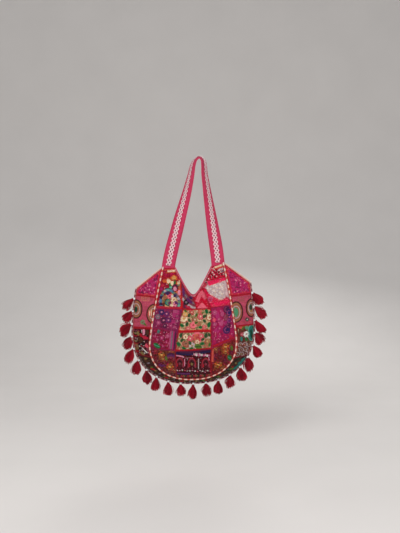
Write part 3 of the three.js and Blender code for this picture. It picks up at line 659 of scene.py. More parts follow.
class Floss:
    """Stitches for one patch, each from its start to its end on the flat cloth, in millimetres."""

    def __init__(self, patch, seed):
        self.patch, self.rows, self.chance = patch, np.zeros((0, 9)), np.random.default_rng(seed)

    def near(self, spots, starts, ends, reach):
        """Which spots lie within reach of any of the stitches."""
        close = np.zeros(len(spots), bool)
        for a, b in zip(starts, ends):
            t = (((spots - a) @ (b - a)) / max(((b - a) ** 2).sum(), 1e-6)).clip(0.0, 1.0)
            close |= np.hypot(*(spots - a - t[:, None] * (b - a)).T) < reach
        return close

    def add(self, starts, ends, dye, thick=1.1, lies="over"):
        """Adds stitches: over what is there, which is left out, on top of it, under it, or only beside it."""
        starts, ends = np.atleast_2d(starts), np.atleast_2d(ends)
        parts = np.ceil(np.hypot(*(ends - starts).T) / LONGEST_STITCH).clip(1).astype(int)
        which = np.repeat(np.arange(len(starts)), parts)
        step = (np.arange(len(which)) - np.repeat(np.cumsum(parts) - parts, parts))[:, None]
        way = ((ends - starts) / parts[:, None])[which]
        starts = starts[which] + way * step
        ends = starts + way
        if lies == "over" and len(self.rows):
            middles = (self.rows[:, 0:2] + self.rows[:, 2:4]) / 2
            self.rows = self.rows[~self.near(middles, starts, ends, CROWDED)]
        if lies == "beside" and len(self.rows):
            free = ~self.near((starts + ends) / 2, self.rows[:, 0:2], self.rows[:, 2:4], BESIDE)
            starts, ends = starts[free], ends[free]
        shade = 1.0 + 0.14 * self.chance.standard_normal((len(starts), 1))
        tint = np.array(dyed(DYE[dye])) * shade.clip(0.65, 1.35)
        size = np.full((len(starts), 1), thick)
        height = np.full((len(starts), 1), LIFT[lies])
        self.rows = np.vstack([self.rows, np.hstack([starts, ends, size, tint, height])])

    def leaf(self, root, tip, width, dye, thick=1.1, slant=0.45):
        """A satin-stitch leaf or petal, its stitches slanting across its axis."""
        root, tip = np.array(root, float), np.array(tip, float)
        along = tip - root
        length = np.hypot(*along)
        along = along / max(length, 1e-6)
        out = np.array([-along[1], along[0]])
        t = np.linspace(0.06, 0.94, max(3, int(length / (0.86 * thick))))[:, None]
        half = width / 2 * np.sin(math.pi * t ** 0.85) ** 0.7
        middle = root + along * t * length
        self.add(middle - out * half - along * half * slant, middle + out * half + along * half * slant, dye, thick)

    def flower(self, centre, reach, petals, dye, heart=None, width=None, turn=0.0, heart_size=0.28):
        centre = np.array(centre, float)
        for k in range(petals):
            way = heading(turn + 2 * math.pi * k / petals)
            spread = width or 2.2 * reach * math.sin(math.pi / petals)
            self.leaf(centre + way * reach * 0.22, centre + way * reach, spread, dye)
        if heart:
            self.disc(centre, reach * heart_size, heart)

    def disc(self, centre, radius, dye, squash=1.0, turn=0.4, thick=1.1):
        """A filled round or oval in satin stitch."""
        steps = np.linspace(-0.93, 0.93, max(3, int(2 * radius / (0.86 * thick))))[:, None]
        half = np.sqrt(1 - steps ** 2) * radius
        way, scale, centre = heading(turn), np.array([squash, 1.0]), np.array(centre, float)
        middle = steps * radius * np.array([-way[1], way[0]])
        self.add(centre + (middle - way * half) * scale, centre + (middle + way * half) * scale, dye, thick)

    def ring(self, centre, inner, outer, dye, squash=1.0, thick=1.1):
        """A ring of stitches that run out from its middle."""
        count = int(2 * math.pi * outer / (0.85 * thick))
        angle = np.linspace(0, 2 * math.pi, count, endpoint=False)
        way = np.column_stack([squash * np.cos(angle), np.sin(angle)])
        self.add(np.array(centre) + way * inner, np.array(centre) + way * outer, dye, thick)

    def rope(self, path, dye, width=1.8, thick=1.0):
        """Rope stitch: short slanting stitches that overlap along a line."""
        self.ribbon(path, width, dye, thick, lean=1.4, pitch=1.3, lies="on top")

    def ribbon(self, path, width, dye, thick=1.1, lean=0.25, pitch=0.9, lies="over"):
        """A satin band: stitches across a line, a little aslant."""
        path = np.array(path, float)
        line = evenly(path, max(4, int(length_of(path) / (pitch * thick))))
        along, out = crosswise(line)
        reach = (out + along * lean) * width / 2
        self.add(line - reach, line + reach, dye, thick, lies)

    def run(self, path, dye, stitch=3.0, gap=1.8, thick=0.9):
        """Running stitch along a line."""
        path = np.array(path, float)
        length = length_of(path)
        count = max(1, int(length / (stitch + gap)))
        line = evenly(path, 400)
        starts = (np.arange(count) + 0.2) / count
        self.add(on_line(line, starts), on_line(line, starts + stitch / length), dye, thick, "beside")

    def seeds(self, count, dye, length=2.4, thick=1.0, margin=0.06):
        """Seed stitch: short stitches strewn over the whole patch."""
        share = margin + (1 - 2 * margin) * self.chance.random((count, 2))
        spots = self.patch.at(share[:, 0], share[:, 1])
        angle = self.chance.random(count) * math.pi
        half = np.column_stack([np.cos(angle), np.sin(angle)]) * length / 2
        self.add(spots - half, spots + half, dye, thick, "beside")

    def strew(self, length=2.4, thick=1.0, **counts):
        """Seed stitches of several dyes."""
        for dye, count in counts.items():
            self.seeds(count, dye, length, thick)

    def edging(self, dye, reach=2.6, pitch=2.6, thick=0.9, bare=None):
        """Overcast stitches that hold the turned edge round the patch, but not along a bare seam."""
        outline = np.vstack([self.patch.outline, self.patch.outline[:1]])
        line = evenly(outline, int(length_of(outline) / pitch))[:-1]
        along, out = crosswise(line)
        side = np.where(self.patch.inside(line + out * 1.5), 1.0, -1.0)[:, None]
        starts, ends = line + out * side * 0.5, line + out * side * reach + along * 0.7
        if bare is not None:
            keep = np.linalg.norm(line[:, None] - evenly(bare, 60)[None], axis=2).min(1) > 3.0
            starts, ends = starts[keep], ends[keep]
        self.add(starts, ends, dye, thick, "on top")

    def spots(self, pairs):
        """Cloth places from shares across and down the patch."""
        share = np.array(pairs, float)
        return self.patch.at(share[:, 0], share[:, 1])

    def sew(self, margin=0.7):
        """Makes the stitches that lie on the patch one piece of floss on its cloth."""
        rows, patch = self.rows, self.patch
        starts, ends = rows[:, 0:2], rows[:, 2:4]
        middles = (starts + ends) / 2
        for _ in range(3):
            out_start, out_end = ~patch.inside(starts), ~patch.inside(ends)
            starts = np.where(out_start[:, None], (starts + middles) / 2, starts)
            ends = np.where(out_end[:, None], (ends + middles) / 2, ends)
        keep = patch.inside(starts) & patch.inside(ends) & (patch.seam_distance((starts + ends) / 2) > margin)
        keep &= np.hypot(*(ends - starts).T) > 0.8
        starts, ends, rows = starts[keep], ends[keep], rows[keep]
        height = rows[:, 8]
        first, last = patch.place(starts, height), patch.place(ends, height)
        middle = patch.place((starts + ends) / 2, height)
        dye = np.hstack([rows[:, 5:8].clip(0, 1), np.ones((len(rows), 1))])
        stitch_piece(
            patch.name + "_embroidery", 0.25 * first + 0.5 * middle + 0.25 * last, last - first,
            patch.up((starts + ends) / 2), rows[:, 4] * MM, dye)


def oval(centre, across, down, start=0.0, end=1.0):
    angle = 2 * math.pi * np.linspace(start, end, 60)
    return np.array(centre) + np.column_stack([across * np.cos(angle), down * np.sin(angle)])


def flowing(points, rounds=3):
    """A soft line from a broken one, its corners cut away."""
    points = np.array(points, float)
    for _ in range(rounds):
        a, b = points[:-1], points[1:]
        between = np.stack([0.75 * a + 0.25 * b, 0.25 * a + 0.75 * b], 1).reshape(-1, 2)
        points = np.vstack([points[:1], between, points[-1:]])
    return points


def cream_flower(f):
    """The large flower that reaches over the seam between the left peak and the patch below it."""
    petals = (((-65, 410), 8.4, "gold"), ((-83, 418), 8.0, "cream"), ((-71, 426), 6.6, "cream"),
              ((-47, 425), 7.6, "cream"), ((-43, 441), 6.6, "fawn"), ((-46, 458), 8.0, "blush"))
    for spot, size, _ in petals:
        f.disc(spot, size + 2.6, "orange")
    for spot, size, dye in petals:
        f.disc(spot, size, dye, squash=0.84, turn=0.1 * spot[1])
    f.leaf((-72, 450), (-81, 425), 8.0, "sea")
    f.leaf((-75, 437), (-81, 425), 6.0, "leaf")
    f.leaf((-62, 431), (-62, 413), 7.0, "leaf")
    f.leaf((-52, 436), (-43, 428), 5.0, "sage")
    f.disc((-61, 445), 6.6, "blush", squash=0.8)
    f.ribbon(oval((-61, 444), 8.6, 12.0, 0.48, 1.02), 4.0, "grape")


def peak_left(f):
    f.ribbon([(-87, 386), (-60, 384)], 5.0, "cream")
    f.rope([(-98, 381), (-58, 379)], "coral", 2.0)
    f.rope([(-96, 391), (-60, 389)], "orange", 1.6)
    for spot in ((-92, 398), (-74, 395), (-56, 401), (-100, 390), (-48, 412)):
        f.flower(spot, 4.6, 6, "magenta", "hot_pink")
    cream_flower(f)
    f.strew(rose=90, maroon=60)


def flower_patch(f):
    """A patch whose arch of grey-blue and green frames a field of small flowers."""
    for spot, size, dye in (((-98, 418), 5.0, "orange"), ((-103, 432), 5.0, "rose"), ((-108, 444), 5.0, "magenta"),
                            ((-40, 472), 5.0, "coral")):
        f.disc(spot, size, dye)
    cream_flower(f)
    f.disc((-77, 486), 26.0, "sand", squash=1.12, turn=1.3)
    f.flower((-79, 469), 8.4, 6, "salmon", "rose")
    f.flower((-66, 481), 8.0, 5, "cream", "gold")
    f.flower((-60, 496), 7.6, 6, "blush", "coral")
    for spot, size, dye in (((-94, 472), 6.4, "tan"), ((-98, 484), 5.0, "khaki"), ((-100, 497), 5.4, "brown"),
                            ((-72, 500), 5.0, "cream"), ((-70, 470), 4.0, "white")):
        f.disc(spot, size, dye, turn=0.3 * spot[0])
    arch = flowing([(-108, 502), (-109, 475), (-101, 456), (-89, 447), (-77, 449), (-67, 456), (-56, 466),
                    (-47, 482), (-45, 496), (-52, 510)])
    f.ribbon(arch, 10.0, "frost")
    f.rope(arch + (-1.0, -5.4), "pine", 1.8)
    f.rope(arch + (0.6, 5.4), "pine", 1.6)
    for share, size, dye in ((0.05, 4.6, "navy"), (0.13, 4.4, "steel"), (0.2, 5.0, "navy"), (0.29, 4.2, "sage"),
                             (0.37, 4.4, "silver"), (0.45, 4.0, "sea"), (0.53, 4.6, "steel"), (0.61, 4.2, "sage"),
                             (0.69, 4.8, "grey"), (0.77, 4.4, "silver"), (0.85, 4.6, "sage"), (0.93, 4.4, "sea")):
        f.disc(on_line(evenly(arch), share), size, dye)
    f.disc((-86, 459), 6.4, "indigo", squash=1.1)
    f.disc((-61, 467), 5.6, "indigo", squash=0.9)
    f.disc((-84, 489), 10.4, "teal")
    f.disc((-83, 489), 7.0, "sage")
    f.rope(oval((-84, 489), 10.8, 10.8, 0.2, 0.8), "pine", 1.6)
    f.disc((-80, 491), 4.2, "violet")
    f.leaf((-61, 486), (-51, 497), 8.0, "violet")
    f.ribbon(f.spots([(0.03, 0.955), (0.97, 0.955)]), 7.0, "rose")
    f.run(f.spots([(0.12, 0.905), (0.86, 0.905)]), "cream", 3.0, 1.4, 1.4)
    f.rope(f.spots([(0.975, 0.03), (0.985, 0.5), (0.975, 0.98)]), "red", 3.0)
    f.seeds(60, "crimson")
    f.strew(3.0, 1.3, pine=26, white=30, brown=26)


def neck_left(f):
    for k, (dye, width) in enumerate((("violet", 8), ("navy", 6), ("dusk", 7), ("grey", 8), ("dusk", 6),
                                      ("silver", 7), ("rose", 5))):
        v = 0.1 + 0.145 * k
        f.ribbon(flowing(f.spots([(0.03, v - 0.24), (0.5, v), (0.97, v + 0.12)])), width, dye)
    dark = f.spots([(0.34, 0.68)])[0]
    f.disc(dark, 9.0, "pine")
    f.ring(dark, 5.0, 8.6, "black")
    f.disc(dark, 3.4, "grey")
    f.leaf(*f.spots([(0.42, 0.46), (0.84, 0.62)]), 8.0, "violet")
    f.leaf(*f.spots([(0.2, 0.48), (0.14, 0.1)]), 7.0, "violet")
    f.leaf(*f.spots([(0.3, 0.9), (0.62, 0.86)]), 6.0, "rose")


def chevron_patch(f):
    for end in ((13, 490), (43, 481)):
        f.ribbon([(27, 457), end], 10.5, "salmon", lean=0.0)
    below = np.arange(494.0, 513.0, 0.9)
    half = (below - 493) * 0.88
    f.add(np.column_stack([30 - half, below]), np.column_stack([30 + half, below]), "salmon")
    f.run([(8, 500), (28, 478), (52, 492)], "hot_pink")
    f.run([(4, 476), (24, 450), (36, 452)], "hot_pink")
    f.strew(rose=40, pink=40, salmon=20)


def peak_right(f):
    """Loose dark scrolls on crimson among white and pink specks, with a grey corner."""
    f.ribbon([(73, 380), (104, 377)], 4.6, "cream")
    f.rope([(72, 385), (105, 382)], "orange", 1.6)
    f.ribbon([(88, 392), (106, 390)], 7.0, "silver")
    f.ribbon([(94, 400), (108, 398)], 6.0, "grey")
    for row, (v, first, count) in enumerate(((0.44, 0.12, 3), (0.64, 0.08, 4), (0.85, 0.06, 5))):
        for k in range(count):
            flip = 0.5 * ((k + row) % 2)
            middle = f.spots([(first + 0.2 * k, v - 0.03 * k)])[0]
            f.rope(oval(middle, 2.6, 3.6, 0.1 + flip, 0.7 + flip), "black", 2.2)
            f.disc(middle + (4.6, 0.4), 1.9, ("white", "pink", "white", "hot_pink")[(k + row) % 4])
            f.disc(middle + (1.0, -6.0), 1.6, ("pink", "white")[k % 2])
    f.strew(2.8, 1.3, white=30, pink=50, hot_pink=50)


PALE_SEAM = np.array(((47.0, 450.0), (106.0, 479.5)))
PALE_FOOT = flowing([(45, 453), (57, 466), (70, 475), (87, 487), (98, 490), (106, 485), (107, 480)])


def pale_dots(f, spots, row):
    """A row of small pale flowers at the given places."""
    for k, spot in enumerate(spots):
        dye = ("white", "silver", "white", "cream", "silver")[(3 * k + 2 * row + k * row) % 5]
        f.flower(spot, 3.4, 4, dye, turn=0.78, width=3.0)


def pale_patch(f):
    share = np.arange(0.02, 1.0, 0.075)
    for row, higher in enumerate(np.arange(1.5, 56.0, 5.4)):
        pale_dots(f, on_line(PALE_SEAM, share + 0.03 * (row % 2)) - (0, higher), row)
    f.ribbon([(40, 430), (58, 427)], 9.0, "dusk")
    f.ribbon([(31, 441), (43, 430)], 13.0, "rose")
    f.ribbon([(34, 446), (44, 452)], 7.0, "crimson")
    f.ribbon([(50, 431), (80, 427), (116, 422)], 14.0, "hot_pink", pitch=0.8)
    f.leaf((86, 434), (96, 432), 5.0, "pink")
    f.strew(silver=60)


def rosette_patch(f):
    """Rose flowers under the pale cloth, whose white work runs on over the seam."""
    for row, down in enumerate((0.12, 0.42, 0.72, 0.95)):
        share = np.arange(0.08 + 0.1 * down, 0.95, 0.085)
        seam = on_line(PALE_SEAM, share)
        pale_dots(f, seam + (on_line(evenly(PALE_FOOT), share) - seam) * down, row)
    share = np.linspace(0.0, 1.0, 84)
    f.add(on_line(PALE_SEAM, share), on_line(evenly(PALE_FOOT), share), "silver", 1.2, "under")
    middle = np.array((57.0, 484.0))
    f.disc(middle, 11.0, "salmon")
    f.flower(middle, 8.2, 8, "lilac", "rose")
    f.ribbon(flowing([(70, 500), (84, 503), (100, 500), (122, 496)]), 8.0, "hot_pink")
    for spot in ((76, 488), (118, 485), (68, 506), (100, 508), (122, 505), (86, 495), (112, 494)):
        f.flower(spot, 4.6, 5, "salmon", "crimson")
    f.run(f.spots([(0.06, 0.93), (0.94, 0.93)]), "salmon")
    f.strew(pink=80, crimson=40, hot_pink=40)


def violet_patch(f):
    f.ribbon([(-57, 518), (-58, 537), (-61, 558)], 21.0, "orchid")
    f.ribbon([(-52, 521), (-66, 519)], 9.0, "lilac")
    for spot, reach, dye in (((-105, 521), 10, "indigo"), ((-88, 527), 9, "violet"), ((-98, 548), 10, "grape"),
                             ((-118, 536), 8, "grey"), ((-82, 548), 9, "violet"), ((-116, 556), 7, "lilac"),
                             ((-74, 566), 7, "orchid"), ((-94, 566), 7, "grape"), ((-60, 572), 6, "orchid"),
                             ((-54, 535), 5, "lilac"), ((-64, 543), 5, "magenta"), ((-55, 551), 5, "blush")):
        f.flower(spot, reach, 6, dye, "blush" if dye != "blush" else "violet", turn=0.1 * spot[0])
    f.strew(3.0, 1.5, blush=50, grape=60)
    f.strew(lilac=90, grape=110, rose=110)


def magenta_patch(f):
    for k, dye in enumerate(("lilac", "grey", "orchid", "grape")):
        f.ribbon([(-73 + 5 * k, 580 + 2 * k), (-78 + 5 * k, 642 + k)], 4.0, dye)
    f.disc((-115, 585), 6.4, "grey")
    f.disc((-115, 585), 4.0, "teal")
    f.leaf((-132, 627), (-108, 637), 13.0, "leaf")
    f.rope([(-130, 628), (-112, 635)], "sea", 1.6)
    for spot, reach, dye in (((-96, 588), 6, "grape"), ((-84, 600), 7, "lilac"), ((-104, 606), 7, "orchid"),
                             ((-88, 620), 6, "magenta"), ((-118, 612), 6, "lilac"), ((-100, 634), 6, "magenta"),
                             ((-126, 600), 6, "orchid")):
        f.flower(spot, reach, 6, dye, "blush", turn=0.1 * spot[1])
    f.strew(3.0, 1.5, blush=36, maroon=50)
    f.strew(lilac=70, grape=110, magenta=90, rose=90)


def garden(f, flowers, leaves, sprigs):
    """A strewn garden: pink and coral flowers outlined in rose, dark green leaves and brown sprigs."""
    for spot, reach, dye, heart in flowers:
        f.flower(spot, reach, 6, dye, heart, turn=0.2 * spot[0])
        f.rope(oval(spot, reach + 1.2, reach + 1.2, 0.1, 0.6), "crimson", 1.4)
    for spot, angle, length, dye in leaves:
        way = heading(angle) * length / 2
        f.leaf(spot - way, spot + way, length * 0.72, dye)
        f.rope([spot - way, spot + 0.6 * way], "moss" if dye == "pine" else "pine", 1.2)
    for spot in np.array(sprigs, float):
        f.rope([spot + (0, 5), spot, spot + (1.5, -4)], "brown", 1.8)
        f.leaf(spot, spot + (4.6, -2.8), 3.2, "moss")
        f.leaf(spot, spot + (-4.4, -2.2), 3.2, "moss")
    f.strew(3.4, 1.4, brown=110, pine=60, white=50)
    f.strew(2.8, salmon=70, moss=80, white=40, brown=160, maroon=90)


def garden_upper(f):
    garden(f, (((-31, 544), 12, "cream", "gold"), ((-26, 530), 8, "gold", "cream"), ((25, 539), 9, "pink", "cream"),
               ((6, 548), 8, "fawn", "cream"), ((1, 566), 11, "salmon", "rose"), ((-4, 524), 7, "rose", "cream"),
               ((55, 543), 9, "cream", "coral"), ((38, 575), 8, "pink", "coral"), ((-16, 577), 7, "pink", "cream"),
               ((24, 523), 7, "coral", "pink"), ((-42, 578), 6, "coral", "cream"), ((20, 560), 7, "tan", "rose")),
           (((-37, 566), 0.1, 15, "leaf"), ((-20, 563), 1.2, 14, "pine"), ((-12, 550), 0.6, 12, "pine"),
            ((-13, 534), 1.6, 13, "pine"), ((53, 567), 1.4, 17, "leaf"), ((38, 554), 0.3, 12, "pine"),
            ((38, 539), 2.2, 14, "pine"), ((45, 523), 0.8, 15, "leaf"), ((11, 534), 1.7, 12, "moss"),
            ((10, 559), 2.4, 11, "moss"), ((-25, 519), 0.6, 10, "moss"), ((24, 574), 2.8, 12, "leaf"),
            ((56, 526), 2.0, 9, "pine"), ((-44, 552), 1.2, 9, "moss")),
           ((12, 576), (-2, 541), (46, 582), (-38, 530), (32, 527)))
    f.ribbon(f.spots([(0.02, 0.968), (0.98, 0.968)]), 4.2, "red")


def garden_lower(f):
    f.ring((-3, 633), 5.0, 9.5, "silver")
    f.flower((13, 607), 18, 9, "salmon")
    garden(f, (((13, 607), 12, "coral", "rose"), ((-9, 610), 9, "pink", "cream"), ((27, 603), 8, "pink", "cream"),
               ((-23, 626), 10, "fawn", "maroon"), ((-25, 604), 8, "cream", "tan"), ((48, 621), 8, "tan", "gold"),
               ((14, 622), 7, "cream", "rose"), ((44, 637), 7, "tan", "coral"), ((-44, 643), 6, "coral", "cream")),
           (((-40, 599), 1.2, 14, "pine"), ((-37, 615), 1.7, 13, "pine"), ((-48, 627), 0.2, 17, "leaf"),
            ((-10, 624), 0.8, 13, "pine"), ((-6, 644), 2.6, 15, "leaf"), ((30, 628), 2.5, 14, "leaf"),
            ((32, 614), 2.2, 12, "pine"), ((43, 602), 1.2, 14, "pine"), ((54, 600), 0.4, 12, "pine"),
            ((16, 637), 3.1, 24, "moss"), ((55, 632), 1.4, 12, "moss"), ((-30, 642), 0.4, 14, "leaf"),
            ((-53, 610), 1.5, 9, "moss")),
           ((2, 620), (-16, 596), (38, 644), (58, 616), (-28, 615)))
    f.rope(f.spots([(0.02, 0.97), (0.4, 0.985), (0.98, 0.97)]), "crimson", 3.0)


def indigo_patch(f):
    """A lilac ground of small flowers, with a column of dark scrolls down its outer side."""
    for spot, size, squash, dye in (((112, 521), 11, 0.95, "grape"), ((119, 531), 11, 0.75, "indigo"),
                                    ((110, 545), 11, 0.65, "dusk"), ((119, 556), 9, 0.7, "violet"),
                                    ((108, 564), 7, 0.8, "magenta"), ((112, 586), 13, 0.85, "indigo"),
                                    ((117, 572), 9, 0.8, "grape")):
        f.disc(spot, size, dye, squash=squash, turn=0.2 + 0.01 * spot[1])
        f.rope(oval(spot, 0.6 * size * squash, 0.55 * size, 0.01 * spot[0], 0.01 * spot[0] + 0.6), "lilac", 1.5)
    for spot, size, dye in (((80, 536), 9, "orchid"), ((94, 562), 9, "lilac"), ((78, 588), 9, "orchid"),
                            ((97, 534), 7, "lilac"), ((70, 552), 6, "pink"), ((126, 604), 7, "rose")):
        f.disc(spot, size, dye, squash=0.8, turn=0.02 * spot[1])
    for spot, reach, dye in (((72, 528), 8, "lilac"), ((86, 550), 8, "orchid"), ((72, 566), 7, "lilac"),
                             ((88, 580), 8, "magenta"), ((74, 598), 6, "rose"), ((92, 524), 6, "orchid"),
                             ((90, 606), 6, "orchid"), ((130, 546), 6, "rose"), ((129, 600), 6, "magenta")):
        f.flower(spot, reach, 6, dye, "blush", turn=0.1 * spot[1])
    f.strew(3.0, 1.5, blush=50, grape=80)
    f.strew(orchid=170, grape=110, rose=90)
    f.ribbon(f.spots([(0.03, 0.955), (0.97, 0.955)]), 5.0, "crimson")


def starburst(f, spot, reach, dye, heart):
    """A full round flower of many narrow petals in mixed shades, with loose stitches round its rim."""
    f.disc(spot, 0.34 * reach, heart)
    for k in range(13):
        way = reach * (0.76 + 0.3 * f.chance.random()) * heading(0.1 * spot[0] + 2 * math.pi * k / 13)
        f.leaf(spot + 0.3 * way, spot + way, 0.36 * reach, (dye, "tan", dye, "orange", dye, "rose")[k % 6])
    angle = 2 * math.pi * f.chance.random(34)
    way = np.column_stack([np.cos(angle), np.sin(angle)]) * reach * (0.95 + 0.45 * f.chance.random((34, 1)))
    f.add(np.array(spot) + way, np.array(spot) + way * 1.2, dye, 1.0, "beside")


def mauve_left(f):
    for spot, reach, dye in (((-105, 662), 13, "mustard"), ((-77, 703), 14, "mustard"), ((-72, 648), 9, "mustard"),
                             ((-100, 676), 8, "mustard"), ((-62, 716), 8, "tan")):
        starburst(f, spot, reach, dye, "gold")
    for spot, reach, dye in (((-126, 650), 6, "rose"), ((-88, 722), 6, "dusk"), ((-120, 684), 6, "dusk"),
                             ((-88, 684), 5, "rose"), ((-66, 678), 5, "rose")):
        f.flower(spot, reach, 6, dye, "tan")
    for k in range(3):
        row = flowing([(-86, 662 + 6 * k), (-74, 656 + 6 * k), (-61, 663 + 6 * k)])
        f.ribbon(row, 4.0, ("grape", "violet", "dusk")[k])
    f.ribbon(flowing([(-114, 696), (-104, 702), (-94, 697)]), 5.0, "violet")
    f.leaf((-92, 668), (-86, 682), 6.0, "moss")
    f.strew(3.2, 1.5, orchid=24, lilac=16, rose=30, maroon=50)
    f.strew(2.8, tan=30, rose=90, dusk=60, maroon=160, crimson=70)


def arch_patch(f):
    """Three dark arches under a silver ribbon of pale discs, over a row of petals and one of small flowers."""
    f.ribbon(flowing([(-57, 652), (-20, 657), (10, 656), (58, 649)]), 8.0, "grape")
    f.ribbon(flowing([(-57, 657), (-20, 663), (8, 661), (58, 654)]), 5.0, "navy")
    for path, width, dye in (([(-55, 665), (-42, 667), (-30, 671)], 3.2, "blush"),
                             ([(-28, 677), (-28, 701)], 2.2, "blush"), ([(18, 678), (18, 713)], 2.4, "silver"),
                             ([(52, 674), (54, 690)], 2.0, "blush")):
        f.ribbon(path, width, dye)
    f.ribbon([(2, 660), (18, 661), (36, 664), (55, 668)], 4.2, "silver")
    for k in range(9):
        f.disc((5 + 6 * k, 663 + 0.6 * k + (k % 2)), 3.3, ("blush", "white", "lilac")[k % 3], turn=0.9 * k)
    f.run([(-26, 674), (0, 673)], "blush", 3.6, 1.4, 1.3)
    for foot in np.array(((-44, 704), (-4, 706), (42, 708)), float):
        arch = flowing(np.array([(-12, 2), (-12, -14), (-8, -25), (0, -30), (8, -25), (12, -14), (12, 2)]) + foot)
        f.disc(foot + (0, -12), 13.0, "maroon", squash=0.8)
        f.ribbon(arch, 3.6, "dusk")
        f.rope(arch + (0, -2.8), "crimson", 1.5)
        f.disc(foot + (0, -12), 8.5, "black", squash=0.75)
        f.disc(foot + (0, -11), 5.0, "khaki" if foot[0] == -4 else "dusk", squash=0.7)
        f.leaf(foot + (-7, 0), foot + (-8, -14), 3.0, "crimson")
        f.leaf(foot + (8, 0), foot + (9, -13), 3.0, "dusk")
    for k, across in enumerate(np.arange(-55.0, 56.0, 8.4)):
        below = 715 + 0.08 * (across + 55) + 2.0 * math.sin(1.9 * k)
        dye = ("white", "blush", "white", "pink", "silver")[k % 5]
        f.leaf((across, below), (across + 5.8, below + 2.4 * math.cos(2.3 * k)), 2.6, dye)
        f.leaf((across + 1, below - 5), (across + 3, below - 7), 2.0, "dusk")
    f.ribbon([(-54, 727), (-30, 729), (-10, 729)], 4.6, "violet")
    f.rope([(-8, 729), (58, 731)], "maroon", 2.4)
    for k, across in enumerate(np.arange(-52.0, 56.0, 7.0)):
        f.flower((across, 738), 3.6, 4, ("tan", "pine", "rose")[k % 3], turn=0.78)
    f.strew(2.6, silver=40, crimson=90, maroon=110, moss=40)


def mauve_right(f):
    for spot, reach, dye in (((108, 642), 13, "mustard"), ((108, 656), 11, "mustard"), ((84, 702), 14, "mustard"),
                             ((74, 648), 8, "tan"), ((98, 716), 7, "tan")):
        starburst(f, spot, reach, dye, "gold")
    f.leaf((114, 674), (131, 688), 14.0, "leaf")
    f.rope([(116, 676), (127, 685)], "sea", 1.5)
    f.leaf((126, 640), (132, 656), 7.0, "moss")
    for spot in ((78, 668), (106, 690), (92, 676), (128, 664), (70, 684)):
        f.flower(spot, 5.6, 5, "grape", "rose")
    f.ribbon([(65, 652), (64, 690)], 5.0, "coral")
    f.strew(3.2, 1.5, orchid=24, lilac=14, orange=14, rose=30, maroon=50)
    f.strew(2.8, rose=90, tan=20, dusk=50, crimson=120, maroon=130)


def corner_patch(f):
    """Small dots all over, in rows that sit a little unevenly, inside a coral border."""
    spread = np.arange(0.04, 0.98, 0.06)
    for row, v in enumerate(spread):
        for u in spread + 0.03 * (row % 2):
            spot = f.spots([(u, v)])[0] + 0.8 * f.chance.standard_normal(2)
            dye = ("blush", "orchid", "lilac", "magenta", "magenta", "grape")[int(f.chance.integers(6))]
            if f.patch.seam_distance(spot[None])[0] < 8:
                dye = ("coral", "rose", "rose", None)[int(f.chance.integers(4))]
            if dye:
                f.disc(spot, 2.1, dye, turn=3 * f.chance.random())
    f.seeds(120, "orchid", 2.0)


def eye(f, middle, across, down, heart, size, iris):
    """One eye motif: a dark outline round tan, a pale ring and a green heart."""
    squash = across / down
    f.disc(middle, down, "tan", squash=squash, turn=1.5)
    f.ring(middle, down * 0.62, down * 0.86, "fawn", squash=squash)
    f.rope(oval(middle, across * 0.6, down * 0.6), "silver", 2.0)
    f.disc(heart, size, "jade", squash=0.6)
    if iris:
        f.disc(heart, size * 0.78, iris, squash=0.56)
    f.rope(oval(middle, across, down), "cocoa", 3.0)


def eye_scatter(f):
    """The ground round the eyes: pale dashes in rows and small sprigs."""
    for v in np.arange(0.06, 0.95, 0.055):
        f.run(f.spots([(0.05, v), (0.95, v)]), "pink" if v < 0.55 else "rose", 4.2, 3.4, 0.8)
    f.ribbon(f.spots([(0.03, 0.975), (0.97, 0.975)]), 3.6, "crimson")
    f.strew(lilac=70, coral=70)


def eye_left(f):
    eye(f, (-193, 510), 20, 30, (-194, 512), 12.0, "pine")
    eye(f, (-131, 527), 24, 31, (-128, 527), 14.0, "tan")
    for k in range(4):
        f.leaf((-150 + 3 * k, 516 - 2 * k), (-149 + 3 * k, 536), 2.4, "cream" if k % 2 else "coral")
    for k in range(3):
        f.run([(-177, 470 + 6 * k), (-146, 471 + 6 * k)], "gold", 4.0, 2.0, 1.3)
    f.flower((-170, 554), 8.0, 6, "sage", "moss")
    f.leaf((-166, 558), (-156, 566), 5.0, "moss")
    eye_scatter(f)


def eye_right(f):
    eye(f, (144, 531), 22, 31, (143, 531), 14.5, None)
    eye(f, (197, 520), 17, 27, (195, 518), 10.5, "pine")
    for k in range(3):
        f.run([(150, 488 + 5 * k), (172, 488 + 5 * k)], "khaki", 4.0, 2.0, 1.3)
    f.flower((182, 556), 7.0, 6, "pine", "white")
    f.flower((191, 566), 5.0, 6, "coral", "red")
    eye_scatter(f)


